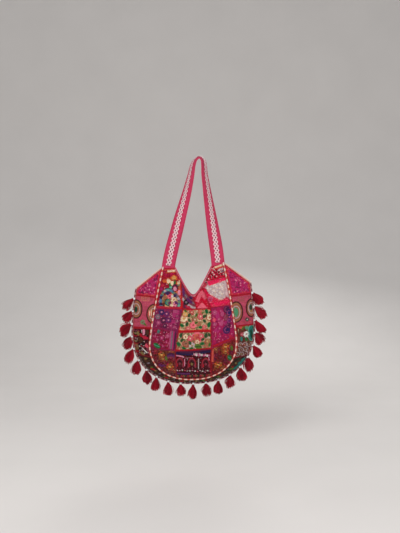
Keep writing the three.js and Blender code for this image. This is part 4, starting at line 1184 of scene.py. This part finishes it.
def dark_patch(f):
    """Bold wedges and steps in pink, white and olive on the dark cloth, paler along the outer seam."""
    for spot, length, width, turn, dye in (
        ((-166, 587), 22, 8, 1.55, "blush"), ((-153, 588), 17, 11, 1.3, "brown"), ((-160, 606), 26, 9, 0.35, "rose"),
        ((-178, 613), 24, 14, 0.7, "brown"), ((-150, 616), 14, 9, 0.9, "maroon"), ((-156, 633), 20, 9, 0.8, "pink"),
        ((-168, 626), 18, 7, 0.3, "black"), ((-150, 648), 18, 10, 0.9, "dusk"), ((-186, 592), 16, 8, 1.2, "khaki"),
        ((-176, 598), 14, 7, 1.0, "crimson"), ((-190, 634), 18, 8, 1.0, "khaki"), ((-170, 660), 18, 8, 0.7, "khaki"),
    ):
        way = heading(turn) * length / 2
        f.leaf(np.array(spot) - way, np.array(spot) + way, width, dye, slant=0.1)
    for k in range(3):
        f.ribbon([(-182 + 5 * k, 634 + 3 * k), (-164 + 5 * k, 651 + 3 * k)], 2.4, ("white", "black", "white")[k])
    for k in range(10):
        v = 0.06 + 0.096 * k
        f.rope(f.spots([(0.74, v), (0.83, v + 0.05), (0.96, v - 0.01)]), ("dusk", "khaki", "crimson")[k % 3], 2.2)
    f.strew(3.6, 1.5, white=26, black=40, pink=20)
    f.strew(2.8, crimson=100, silver=30, maroon=110)


def teal_patch(f):
    """Green leaves and a white flower above, pale petal outlines on brown below."""
    f.disc((160, 580), 6.0, "coral")
    f.leaf((193, 574), (199, 630), 19.0, "teal")
    f.leaf((194, 590), (199, 624), 10.0, "pine")
    f.leaf((203, 564), (208, 592), 13.0, "leaf")
    f.rope([(203, 568), (207, 588)], "sea", 1.6)
    f.disc((181, 582), 8.0, "jade", squash=0.75)
    f.leaf((164, 590), (172, 572), 7.0, "moss")
    f.flower((164, 604), 6, 5, "pink", "white")
    f.flower((179, 605), 10, 7, "white", "blush", heart_size=0.2)
    f.leaf((160, 612), (164, 628), 7.0, "teal")
    f.leaf((174, 618), (184, 628), 6.0, "leaf")
    f.rope(oval((197, 602), 12, 27, 0.2, 0.85), "sea", 1.5)
    for u, v, dye in ((0.2, 0.58, "tan"), (0.5, 0.6, "rose"), (0.82, 0.63, "fawn"), (0.34, 0.75, "dusk"),
                      (0.66, 0.77, "tan"), (0.9, 0.82, "rose"), (0.14, 0.88, "brown"), (0.46, 0.91, "khaki"),
                      (0.76, 0.93, "dusk")):
        middle = f.spots([(u, v)])[0]
        f.disc(middle, 6.4, "cocoa")
        f.flower(middle, 4.0, 5, dye, "cream", turn=9 * u)
        f.rope(oval(middle, 7.2, 6.6, u, u + 0.8), "silver", 1.4)
    f.strew(3.0, 1.4, cream=22, cocoa=70)
    f.strew(cocoa=150, sage=40, maroon=110, rose=40)


def lower_patch(f, dyes):
    """Trailing leaves and dashes along the foot of the bag."""
    for k, v in enumerate(np.linspace(0.03, 0.97, 22)):
        root = f.spots([(0.3 + 0.36 * (k % 2), v)])[0]
        tip = f.spots([(0.62 - 0.28 * (k % 2), min(0.99, v + 0.045))])[0]
        f.leaf(root, tip, 5.6, dyes[k % len(dyes)])
    for u, *stitch in ((0.5, "tan", 3.2, 1.8, 1.2), (0.86, "silver", 3.6, 5.0, 1.4)):
        f.run(f.spots([(u, v) for v in np.linspace(0.02, 0.98, 30)]), *stitch)
    f.strew(khaki=50, cocoa=190, maroon=110, silver=24)


def lower_left(f):
    lower_patch(f, ("khaki", "brown", "grey", "cocoa", "moss", "crimson"))


def lower_right(f):
    for spot, size in (((162, 703), 11), ((146, 720), 11), ((172, 692), 9), ((154, 712), 8)):
        f.leaf(np.array(spot) - (size, -0.5 * size), np.array(spot) + (size, -0.6 * size), size, "teal")
    lower_patch(f, ("pine", "brown", "khaki", "cocoa", "crimson", "moss"))


NEEDLEWORK = dict(
    front_peak_left=peak_left, front_flower_patch=flower_patch, front_neck_left=neck_left,
    front_chevron_patch=chevron_patch, front_peak_right=peak_right, front_pale_patch=pale_patch,
    front_rosette_patch=rosette_patch, front_violet_patch=violet_patch, front_magenta_patch=magenta_patch,
    front_garden_upper=garden_upper, front_garden_lower=garden_lower, front_indigo_patch=indigo_patch,
    front_mauve_left=mauve_left, front_arch_patch=arch_patch, front_mauve_right=mauve_right,
    band_corner_left=corner_patch, band_corner_right=corner_patch, band_eye_left=eye_left, band_eye_right=eye_right,
    band_dark_left=dark_patch, band_teal_right=teal_patch, band_lower_left=lower_left, band_lower_right=lower_right,
)
EDGED = {violet_patch: "orchid", magenta_patch: "orchid", indigo_patch: "orchid", mauve_left: "dusk",
         rosette_patch: "rose", pale_patch: "rose", lower_left: "maroon", lower_right: "maroon"}
for k, (name, work) in enumerate(NEEDLEWORK.items()):
    floss = Floss(patches[name], 40 + k)
    work(floss)
    floss.edging(EDGED.get(work, "crimson"), bare=PALE_SEAM if work in (pale_patch, rosette_patch) else None)
    floss.sew()

# Quilting of the back
# Plain running stitch in rose cotton floss, sewn in rows through cloth, batting and lining to hold them
# together, with crimson overcast stitches round each piece.
QUILTING = dict(stitch=4.0, gap=3.0, thick=1.0)
ROWS, SIDE_ROWS = 6, 3
for k, name in enumerate(BACK_PATCHES):
    floss = Floss(patches[name], 80 + k)
    for u in np.linspace(0.1, 0.9, SIDE_ROWS if "side" in name else ROWS):
        floss.run(floss.spots([(u, v) for v in np.linspace(0.02, 0.98, 24)]), "rose", **QUILTING)
    floss.edging("crimson", 2.4, 5.0)
    floss.sew()

# Trim cords
# A crimson two-ply cord sewn over the seam round each centre panel, wrapped at even steps with pale gold
# thread, so that it reads as a row of dashes.
TRIM_CORD = dict(wide=4.6, tall=4.0, pitch=7.0)
TRIM_DASH = dict(step=0.0192, length=0.0090, width=0.0042, turns=7)


def face_points(line, share, face, height):
    """Points and outward directions over the cloth along a line."""
    across, below = on_line(line, share).T
    out = outward(across, below, face)
    return in_bag(across, below, face * depth_at(across, below)) + out * height * MM, out


def plied_cord(name, node, slot, points, out, material, wide, tall, pitch=9.0, plies=2, sides=10):
    """A closed cord along a path, its section twisted so that its plies show."""
    along = np.gradient(points, axis=0)
    along /= np.linalg.norm(along, axis=1)[:, None]
    side = np.cross(along, out)
    side /= np.linalg.norm(side, axis=1)[:, None]
    run = np.r_[0.0, np.cumsum(np.linalg.norm(np.diff(points, axis=0), axis=1))] / MM
    angle = np.linspace(0, 2 * math.pi, sides, endpoint=False)
    ply = 1.0 - 0.16 * np.abs(np.cos(plies / 2 * (angle[None, :] - 2 * math.pi * run[:, None] / pitch)))
    x, z = wide / 2 * MM * ply * np.cos(angle), tall / 2 * MM * ply * np.sin(angle)
    rings = points[:, None] + side[:, None] * x[..., None] + out[:, None] * z[..., None]
    verts = np.vstack([rings.reshape(-1, 3), points[[0, -1]]])
    n = len(points)
    ring = np.arange(n * sides).reshape(n, sides)
    after = np.roll(ring, -1, 1)
    faces = np.stack([ring[:-1], after[:-1], after[1:], ring[1:]], -1).reshape(-1, 4).tolist()
    faces += [[a, b, n * sides] for a, b in zip(after[0], ring[0])]
    faces += [[a, b, n * sides + 1] for a, b in zip(ring[-1], after[-1])]
    if np.dot(np.cross(side[n // 2], out[n // 2]), along[n // 2]) < 0:
        faces = [face[::-1] for face in faces]
    join_on(mesh_piece(name, verts, faces, [material]), node)


def spun_cord(name, dark, light, roughness=0.6):
    """Spun cord: fine strands running across the twist."""
    return two_tone(name, dark, light, roughness, sheen=0.1, scale=420.0, detail=3.0, span=(0.35, 0.65),
                    strands=(0.5, 0.0004))


def wrap_tree():
    """Sets a wrapped dash at even steps along a path, lying along it and standing on its up direction."""
    tree = Tree("wrapped_dashes", Step=0.02, Length=0.011, Width=0.005, Turns=8, Thread=None)
    given, node = tree.given, tree.node
    turns = node("GeometryNodeMeshLine", mode="END_POINTS", Count=given["Turns"], Start_Location=(-0.5, 0, 0),
                 Offset=(0.5, 0, 0))
    loop = node("GeometryNodeMeshToCurve", Mesh=node("GeometryNodeMeshCircle", Vertices=8, Radius=0.5)[0])
    strand = node("GeometryNodeCurvePrimitiveCircle", Resolution=4, Radius=0.13)
    one_turn = node("GeometryNodeCurveToMesh", Curve=loop[0], Profile_Curve=strand["Curve"])
    upright = node("GeometryNodeTransform", Geometry=one_turn[0], Rotation=(0, math.pi / 2, 0))
    flat = node("GeometryNodeTransform", Geometry=upright[0], Scale=(0.5, 1, 1))
    wound = node("GeometryNodeInstanceOnPoints", Points=turns[0], Instance=flat[0])
    wrap = node("GeometryNodeRealizeInstances", Geometry=wound[0])
    path = node("GeometryNodeMeshToCurve", Mesh=given["Geometry"])
    spots = node("GeometryNodeCurveToPoints", mode="LENGTH", Curve=path[0], Length=given["Step"])
    size = node("ShaderNodeCombineXYZ", X=given["Length"], Y=given["Width"], Z=given["Width"])
    laid = node("GeometryNodeInstanceOnPoints", Points=spots["Points"], Instance=wrap[0],
                Rotation=tree.standing(spots["Tangent"]), Scale=size[0])
    return tree.finished(laid, given["Thread"])


wrapped_dashes = wrap_tree()


def wrap_path(name, points, out, slot, **sizes):
    """Dashes of pale thread wound round a cord along its path."""
    piece = mesh_piece(name, points, edges=[(k, k + 1) for k in range(len(points) - 1)])
    mark(piece, "up", out)
    join_on(made_by(wrapped_dashes, piece, thread=pale_wrap, **sizes))


crimson_cord = spun_cord("crimson_cord", "b04040", "d86a54")
pale_wrap = spun_cord("pale_gold_wrap", "ecc8b4", "fcf0e4", 0.45)
FACES = (("front", FRONT), ("back", BACK))
for where, face in FACES:
    points, out = face_points(panel_line(TRIM), np.linspace(0.0, 1.0, 700), face, 0.5)
    plied_cord(where + "_trim_cord", where + "_trim", "trim_cord", points, out, crimson_cord, **TRIM_CORD)
    wrap_path(where + "_trim_dashes", points, out, "trim_cord", **TRIM_DASH)

# Neck bindings
# A folded strip of pink cotton that wraps the raw edge of the V neckline, front and back, and is sewn down
# over it out of sight.


def cotton(name, ground, shade, weave=420.0):
    """Plain cotton on Object coordinates, for narrow folded strips."""
    return two_tone(name, ground, shade, roughness=0.84, sheen=0.08, scale=60.0, weave=(weave, 0.4, 0.0004))


binding_cotton = cotton("pink_binding", "cc5468", "ac3c54")
for where, face in FACES:
    points, out = face_points(neck_line(BINDING_WIDTH / 2 - 0.2), np.linspace(0.0, 1.0, 160), face, -0.9)
    plied_cord("neck_binding_fold_" + where, "neck_binding_" + where, "neck_binding", points, out, binding_cotton,
               wide=4.9, tall=4.2, plies=0)

# Shoulder piping and edge cord
# Cream covered piping closes the two slanting shoulder edges; below the corners a maroon twisted cord runs
# round the outer seam and carries the tassels.
PIPING_OUT, CORD_OUT = 2.5, 3.0
cream_piping = cotton("cream_piping", "ecc8b4", "d49c88", 500.0)
maroon_cord = spun_cord("maroon_cord", "5e1a2c", "8a2a42")
toward_front = np.array([0.0, -1.0, 0.0])


def seam_path(flat):
    return in_bag(*flat.T, np.zeros(len(flat)))


for where, side in (("left", -1), ("right", 1)):
    start, end = np.array([side * shoulder_half, TRIM["top"]]), np.array([side * SEAM["top_half"], SEAM["top"]])
    along = (end - start) / np.hypot(*(end - start))
    out = np.array([along[1], -along[0]]) * side
    share = np.linspace(0.0, 1.0, 60)[:, None]
    flat = start + along * 2 + (end - along - start - along * 2) * share + out * PIPING_OUT
    plied_cord("shoulder_piping_roll_" + where, "shoulder_piping_" + where, "piping", seam_path(flat),
               np.tile(toward_front, (60, 1)), cream_piping, wide=4.4, tall=6.0, plies=0)
points = seam_path(on_line(panel_line(SEAM, CORD_OUT), np.linspace(0.0, 1.0, 620)))
out = np.tile(toward_front, (620, 1))
plied_cord("edge_cord_twist", "edge_cord", "edge_cord", points, out, maroon_cord, wide=5.0, tall=6.5, pitch=11.0)
wrap_path("edge_cord_wraps", points, out, "edge_cord", step=0.0172, length=0.0055, width=0.0058, turns=4)

# Tassels
# Crimson wool yarn, tied over the edge cord with a white lashing, bound close under it and combed out into
# loose locks whose cut ends fray.
TASSEL = dict(count=21, start=0.036, root_out=5.8, neck=4.2, neck_at=2.4, length=43.5, spread=9.8, lock=7.2,
              droop=50.0, swing=7.0, sway=12.0, sag=6.0)
LOCKS, STRANDS, YARN, BINDING = 8, 22, 0.75, 0.7
LASH = dict(across=4.4, deep=5.8, half=3.0, turns=6, thread=0.9, shade=1.5)


def yarn_tree():
    """Spins a round yarn along every path."""
    tree = Tree("spun_yarn", Radius=0.001, Sides=4, Yarn=None)
    given, node = tree.given, tree.node
    path = node("GeometryNodeMeshToCurve", Mesh=given["Geometry"])
    section = node("GeometryNodeCurvePrimitiveCircle", Resolution=given["Sides"], Radius=given["Radius"])
    spun = node("GeometryNodeCurveToMesh", Curve=path[0], Profile_Curve=section["Curve"], Fill_Caps=True)
    return tree.finished(spun, given["Yarn"])


spun_yarn = yarn_tree()
wool = dyed_thread("crimson_wool", roughness=0.92, sheen=0.05, scale=700.0, detail=3.0, depth=0.6,
                   bump=(0.6, 0.0005))


def strand_paths(chance):
    """The yarns of one tassel along +Z from its root, in locks: paths, and for each point a random tone with painted
    shade, darker on the inner strands and towards the roots.
    """
    paths, tones_and_painted_shade = [], []
    steps = np.linspace(0.0, 1.0, 7)
    opened = np.interp(steps, (0.0, 0.17, 0.34, 0.5, 0.67, 0.84, 1.0), (0.0, 0.2, 0.5, 0.76, 0.95, 1.0, 0.94))
    fuller, longer = 0.9 + 0.2 * chance.random(), 0.9 + 0.18 * chance.random()
    for lock in range(LOCKS):
        way = 2 * math.pi * lock / (LOCKS - 1) + 0.3 * chance.standard_normal()
        out = TASSEL["spread"] * fuller * (0.8 + 0.45 * chance.random()) * (lock > 0)
        long = TASSEL["length"] * longer * (0.96 + 0.22 * chance.random() + 0.04 * (lock == 0))
        tone = 1 + 0.2 * chance.standard_normal()
        for k in range(STRANDS if lock else STRANDS // 2):
            angle, reach = k * 2.39996 + way, math.sqrt((k + 0.5) / STRANDS) * TASSEL["lock"]
            reach *= 1.35 if chance.random() < 0.1 else 1.0
            x = out * math.cos(way) + reach * math.cos(angle)
            y = out * math.sin(way) + reach * math.sin(angle)
            curl = np.outer(steps ** 1.5, chance.standard_normal(2)) * 1.5
            curl += np.outer(np.sin(steps * 10 + 7 * chance.random()) * steps, chance.standard_normal(2)) * 0.6
            cut = 1 - 0.2 * chance.random() ** 1.5 - 0.13 * (math.hypot(x, y) / 17) ** 2
            z = TASSEL["neck_at"] + (long * cut - TASSEL["neck_at"]) * steps
            root = TASSEL["neck"] * 0.7 / (TASSEL["spread"] + TASSEL["lock"])
            side = np.outer(root + (1 - root) * opened, (x, y)) + curl
            paths.append(np.column_stack([side, z]))
            # painted shade: strands nearer the middle of the tassel are drawn darker
            shade = tone * (0.8 + 0.2 * math.hypot(x, y) / 13) * (1 + 0.14 * chance.standard_normal())
            # painted shade: each yarn is drawn darker towards its root, where the tassel is gathered
            tones_and_painted_shade.append(shade * (0.74 + 0.3 * steps ** 0.7) + 0.7 * (steps > 0.99) * (chance.random() < 0.25))
    return paths, tones_and_painted_shade


def wound_path(across, deep, start, end, turns, round_points=9):
    """A thread wound round an axis, from one height along it to another."""
    angle = np.linspace(0, 2 * math.pi * turns, turns * round_points + 1)
    z = np.linspace(start, end, len(angle))
    grow = np.linspace(0, 1, len(angle))
    across, deep = across[0] + (across[1] - across[0]) * grow, deep[0] + (deep[1] - deep[0]) * grow
    return np.column_stack([across * np.cos(angle), deep * np.sin(angle), z])


def yarn_piece(name, groups):
    """Joins groups of yarns into one piece; each group has its paths, their tones with painted shade, dye and
    radius.
    """
    made = []
    for paths, tones_and_painted_shade, dye, radius in groups:
        edges, first = [], 0
        for path in paths:
            edges += [(first + k, first + k + 1) for k in range(len(path) - 1)]
            first += len(path)
        part = mesh_piece(name, np.vstack(paths), edges=edges)
        tint = np.outer(np.concatenate(tones_and_painted_shade), colour(DYE[dye])).clip(0, 1)
        mark(part, "dye", np.hstack([tint, np.ones((len(tint), 1))]))
        made.append(made_by(spun_yarn, part, radius=radius * MM, yarn=wool))
    with bpy.context.temp_override(active_object=made[0], selected_editable_objects=made):
        bpy.ops.object.join()
    made[0].name = name
    return made[0]


root_line = panel_line(SEAM, TASSEL["root_out"])
for k in range(TASSEL["count"]):
    chance = np.random.default_rng(300 + k)
    share = TASSEL["start"] + (1 - 2 * TASSEL["start"]) * k / (TASSEL["count"] - 1)
    root = on_line(root_line, share)
    tangent = on_line(root_line, share + 0.002) - on_line(root_line, share - 0.002)
    tangent /= np.hypot(*tangent)
    lean = math.degrees(math.atan2(-tangent[1], tangent[0]))
    drooped = math.copysign(max(abs(lean) - TASSEL["droop"], 0.0), lean)
    hang = math.radians(drooped + TASSEL["swing"] * math.sin(2.4 * k))
    aside = math.sin(math.radians(TASSEL["sway"] if k % 2 else -TASSEL["sway"]))
    away = np.array([math.sin(hang), aside, -math.cos(hang)])
    away /= np.linalg.norm(away)
    side = np.cross(away, toward_front)
    side /= np.linalg.norm(side)
    axes = np.array([side, np.cross(away, side), away])
    base = in_bag(*root, 0.0)
    paths, tones_and_painted_shade = strand_paths(chance)
    neck = wound_path((TASSEL["neck"],) * 2, (TASSEL["neck"],) * 2, 3.4, 5.2, 2)
    cap = wound_path((1.6, TASSEL["neck"]), (1.6, TASSEL["neck"]), 1.2, 3.4, 4)
    sag = np.array([0.0, 0.0, -TASSEL["sag"] * abs(away[0])])
    hung = [base + (local @ axes + np.outer((local[:, 2] / TASSEL["length"]) ** 2, sag)) * MM
            for local in paths + [neck, cap]]
    lash = wound_path((LASH["across"],) * 2, (LASH["deep"],) * 2, -LASH["half"], LASH["half"], LASH["turns"])
    out = np.array([-tangent[1], tangent[0]])
    flat = root + out * (CORD_OUT - TASSEL["root_out"]) + np.outer(lash[:, 0], out) + np.outer(lash[:, 2], tangent)
    name = f"tassel_{k + 1:02d}"
    join_on(yarn_piece(name + "_yarn", (
        (hung[:-2], tones_and_painted_shade, "wool", YARN),
        # painted shade: the binding is drawn darker, and the cap at the gathered top darker still
        (hung[-2:], [np.full(len(neck), 0.85), np.full(len(cap), 0.75)], "wool", BINDING),
        ([in_bag(*flat.T, lash[:, 1])], [np.full(len(lash), LASH["shade"])], "white", LASH["thread"]),
    )), name)

# Strap
# One crimson-pink cotton band, folded and stitched along both edges. Its ends face front and are tucked
# between the faces at the peaks, and it turns on its way up to lie flat over its top bend.
STRAP = dict(width=45.0, thick=3.4, tucked=20.0, clear=4.0, peak=84.0, apex=3.0, lead=5.0,
             bow=3.5, bow_at_bend=2.5, bowed_by=0.35, flat_from=0.9, flat_over=0.25,
             turn_at_bend=18.0, turn_ease=1.1, front_by=0.86)
LEGS = (
    # drop below the top bend, left leg, right leg
    (9, -13, 17), (30, -22, 21), (57, -27.5, 23), (110, -40, 31), (231, -71, 49),
)


def strap_end(side, below):
    return in_bag(np.array(side * STRAP["peak"]), np.array(below), np.array(0.0)) / MM


def smooth_path(knots, steps=60):
    """A centripetal spline through the knots."""
    knots = np.vstack([2 * knots[0] - knots[1], knots, 2 * knots[-1] - knots[-2]])
    line = []
    for p0, p1, p2, p3 in zip(knots, knots[1:], knots[2:], knots[3:]):
        d0, d1, d2 = (np.linalg.norm(b - a) ** 0.5 for a, b in ((p0, p1), (p1, p2), (p2, p3)))
        m1 = ((p1 - p0) / d0 - (p2 - p0) / (d0 + d1) + (p2 - p1) / d1) * d1
        m2 = ((p2 - p1) / d1 - (p3 - p1) / (d1 + d2) + (p3 - p2) / d2) * d1
        t = np.linspace(0, 1, steps, endpoint=False)[:, None]
        line.append(p1 + m1 * t + (3 * (p2 - p1) - 2 * m1 - m2) * t ** 2 + (2 * (p1 - p2) + m1 + m2) * t ** 3)
    return evenly(np.vstack(line + [knots[-2:-1]]), 2401)


left_leg = [np.array([left, 0.0, -drop]) for drop, left, _ in LEGS]
right_leg = [np.array([right, 0.0, -drop]) for drop, _, right in LEGS]
strap_path = smooth_path(np.array(
    [strap_end(-1, NECK["top"] + STRAP["tucked"]), strap_end(-1, NECK["top"] - STRAP["clear"])] + left_leg[::-1]
    + [np.array([STRAP["apex"], 0.0, STRAP["thick"] / 2])] + right_leg
    + [strap_end(1, NECK["top"] - STRAP["clear"]), strap_end(1, NECK["top"] + STRAP["tucked"])]))


def strap_points(station, share, height):
    """Points on the strap: at stations along it, shares of its half width, and heights over its middle."""
    station, share, height = np.broadcast_arrays(*(np.asarray(x, float) for x in (station, share, height)))
    centre = on_line(strap_path, station)
    along = on_line(strap_path, station + 0.002) - on_line(strap_path, station - 0.002)
    along /= np.linalg.norm(along, axis=-1)[..., None]
    out = np.stack([-along[..., 2], 0 * station, along[..., 0]], -1)
    from_bend = np.abs(2 * station - 1)
    fold = (from_bend / STRAP["front_by"]).clip(0, 1)
    lead = STRAP["lead"] * np.sin(fold * math.pi) * np.sign(0.5 - station)
    turn = np.radians(90 * fold ** STRAP["turn_ease"] + STRAP["turn_at_bend"] * (1 - fold) + lead)[..., None]
    face = out * np.cos(turn) + np.sin(turn) * toward_front
    wide = np.cross(along, face)
    wide /= np.linalg.norm(wide, axis=-1)[..., None]
    more = STRAP["bow"] - STRAP["bow_at_bend"]
    bow = STRAP["bow_at_bend"] + more * (from_bend / STRAP["bowed_by"]).clip(0, 1)
    bow = bow * ((STRAP["flat_from"] - from_bend) / STRAP["flat_over"]).clip(0, 1)
    points = centre + wide * (share * STRAP["width"] / 2)[..., None] + face * (height - bow * share ** 2)[..., None]
    return points * MM, face


strap_cotton = two_tone("strap_cotton", "c43c5e", "a62848", roughness=0.84, sheen=0.06, scale=0.7, on_cloth=True,
                        weave=(3.2, 0.5, 0.0005))
stations = 0.5 + 0.5 * np.sign(q := np.linspace(-1, 1, 261)) * np.abs(q) ** 1.3
ring_share = np.r_[np.linspace(-1, 1, 15), np.linspace(1, -1, 15)]
edge = np.sqrt(1 - (np.abs(ring_share) ** 14))
ring_height = np.r_[np.full(15, 1.0), np.full(15, -1.0)] * (0.35 + 0.65 * edge) * STRAP["thick"] / 2
rings, _ = strap_points(stations[:, None], ring_share[None, :], ring_height[None, :])
n, m = len(stations), len(ring_share)
ring = np.arange(n * m).reshape(n, m)
after = np.roll(ring, -1, 1)
faces = np.stack([ring[:-1], ring[1:], after[1:], after[:-1]], -1).reshape(-1, 4).tolist()
faces += [ring[0].tolist(), ring[-1][::-1].tolist()]
strap = mesh_piece("strap_band", rings.reshape(-1, 3), faces, [strap_cotton])
flat_uv = np.stack(np.broadcast_arrays(ring_share[None, :] * STRAP["width"] / 20, stations[:, None] * 84), -1)
lay_flat(strap, flat_uv.reshape(-1, 2))
join_on(strap, "strap")

# Strap stitching
# A row of running stitch along each edge of the band, in rose cotton floss, sewn through both of its folded
# layers from end to end.
SEWN_FROM, SEWN_STEP, SEWN_LONG, SEWN_SHARE, SEWN_THICK = 0.032, 0.0062, 0.004, 0.88, 0.9
station = np.tile(np.arange(SEWN_FROM, 1 - SEWN_FROM, SEWN_STEP), 2)
share = np.repeat((-SEWN_SHARE, SEWN_SHARE), len(station) // 2)
starts, face = strap_points(station, share, STRAP["thick"] / 2)
ends, _ = strap_points(station + SEWN_LONG, share, STRAP["thick"] / 2)
strap_stitching = stitch_piece(
    "strap_stitching", (starts + ends) / 2, ends - starts, face, np.full(len(station), SEWN_THICK * MM),
    np.tile((*colour(DYE["rose"]), 1.0), (len(station), 1)))

# Strap braid
# A flat braid of three silver-white tapes, plaited over and under each other on a dark strip, which shows
# as small dots between them, and sewn down the middle of the strap.
BRAID = dict(width=20.0, ground=11.0, ground_thick=0.35, low=2.05, lift=0.45, over=0.22, first=0.032,
             tapes=3, tape=5.2, tape_thick=0.4, period=0.054)
braid_ground = two_tone("braid_ground", "3a2028", "5c343e", roughness=0.85, sheen=0.1, scale=300.0, detail=3.0)
braid_silver = two_tone("braid_silver", "c09498", "e8c8ca", roughness=0.45, sheen=0.1, scale=800.0, detail=2.0,
                        strands=(0.4, 0.0003))
braid_silver.node_tree.nodes["Principled BSDF"].inputs["Metallic"].default_value = 0.15


def band_mesh(verts, faces, stations, shares, low, high):
    """Adds a closed flat tape along the strap; shares are its two edges at each station."""
    first = len(verts)
    for station, (a, b), down, up in zip(stations, shares, low, high):
        points, _ = strap_points(np.full(6, station), np.array([a, (a + b) / 2, b, b, (a + b) / 2, a]),
                                 np.array([up - 0.15, up, up - 0.15, down, down, down]))
        verts.extend(points.tolist())
    for k in range(len(stations) - 1):
        for j in range(6):
            a, b = first + 6 * k + j, first + 6 * k + (j + 1) % 6
            faces.append([a, a + 6, b + 6, b])
    last = first + 6 * (len(stations) - 1)
    faces.append([first + j for j in range(6)])
    faces.append([last + 5 - j for j in range(6)])


verts, faces = [], []
half_braid = BRAID["width"] / STRAP["width"]
along = np.linspace(BRAID["first"], 1 - BRAID["first"], 300)
half_ground = BRAID["ground"] / STRAP["width"]
band_mesh(verts, faces, along, np.tile((-half_ground, half_ground), (300, 1)), np.full(300, BRAID["low"]),
          np.full(300, BRAID["low"] + BRAID["ground_thick"]))
ground_faces = len(faces)
tape_half = BRAID["tape"] / STRAP["width"]
along = np.linspace(BRAID["first"], 1 - BRAID["first"], 680)
for tape in range(BRAID["tapes"]):
    phase = (along / BRAID["period"] + tape / BRAID["tapes"]) % 1.0
    zigzag = 1 - 4 * np.abs(phase - 0.5)
    middle = zigzag * (half_braid - tape_half)
    crossing = np.cos(2 * math.pi * along / BRAID["period"] * BRAID["tapes"] + math.pi * tape)
    weave = np.where(phase < 0.5, 1.0, -1.0) * crossing * BRAID["over"]
    low = BRAID["low"] + BRAID["lift"] + BRAID["over"] + weave
    band_mesh(verts, faces, along, np.column_stack([middle - tape_half, middle + tape_half]), low,
              low + BRAID["tape_thick"])
braid = mesh_piece("strap_braid_tapes", np.array(verts), faces, [braid_ground, braid_silver])
braid.data.polygons.foreach_set("material_index", (np.arange(len(faces)) >= ground_faces).astype(np.int32))
join_on(braid, "strap_braid")

# Studio
# A pale floor under the hanging bag that sweeps up behind it, soft light from the front and above, and the
# camera level with it.
CAMERA_Y, AIM_X, AIM_Z, FRAME_HEIGHT = -2.0, 0.005, -0.372, 1.812
FLOOR_Z, SWEEP_FROM, SWEEP_ROUND, WALL_TOP = -1.02, 1.4, 2.2, 4.0
bend = np.linspace(0.0, math.pi / 2, 25)
profile = np.vstack([(-6.0, FLOOR_Z), np.column_stack([SWEEP_FROM + SWEEP_ROUND * np.sin(bend),
                                                       FLOOR_Z + SWEEP_ROUND * (1 - np.cos(bend))]),
                     (SWEEP_FROM + SWEEP_ROUND, WALL_TOP)])
edge = np.array([[(x, y, z) for y, z in profile] for x in (-8.0, 8.0)])
count = len(profile)
floor_finish = two_tone("pale_floor", "d6d2ce", "dedad6", roughness=0.9, sheen=0.0, scale=3.0, detail=3.0)
floor = mesh_piece("floor", edge.reshape(-1, 3), [[k, count + k, count + k + 1, k + 1] for k in range(count - 1)],
                   [floor_finish])
world = bpy.context.scene.world or bpy.data.worlds.new("studio")
bpy.context.scene.world = world
world.use_nodes = True
backdrop = world.node_tree.nodes["Background"]
backdrop.inputs["Color"].default_value = (0.9, 0.9, 0.92, 1.0)
backdrop.inputs["Strength"].default_value = 0.55


def soft_light(name, place, aim, size, power):
    data = bpy.data.lights.new(name, "AREA")
    data.size, data.energy = size, power
    light = bpy.data.objects.new(name, data)
    light.location = place
    way = np.array(aim) - np.array(place)
    light.rotation_euler = (math.atan2(math.hypot(way[0], way[1]), -way[2]), 0.0, math.atan2(-way[0], way[1]))
    bpy.context.collection.objects.link(light)


soft_light("key_light", (-1.1, -2.2, 0.9), (0.0, 0.0, -0.5), 1.2, 44.0)
soft_light("fill_light", (1.6, -1.8, -0.1), (0.0, 0.0, -0.5), 1.6, 18.0)
soft_light("back_light", (0.6, 2.2, 0.9), (0.0, 0.0, -0.4), 1.2, 22.0)
camera = bpy.data.objects.new("camera", bpy.data.cameras.new("camera"))
camera.data.sensor_fit = "VERTICAL"
camera.data.sensor_height = 36.0
camera.data.sensor_width = 36.0
camera.data.lens = 36.0 * -CAMERA_Y / FRAME_HEIGHT
camera.location = (AIM_X, CAMERA_Y, AIM_Z)
camera.rotation_euler = (math.pi / 2, 0.0, 0.0)
bpy.context.collection.objects.link(camera)
bpy.context.scene.camera = camera
bpy.context.scene.view_settings.view_transform = "Standard"
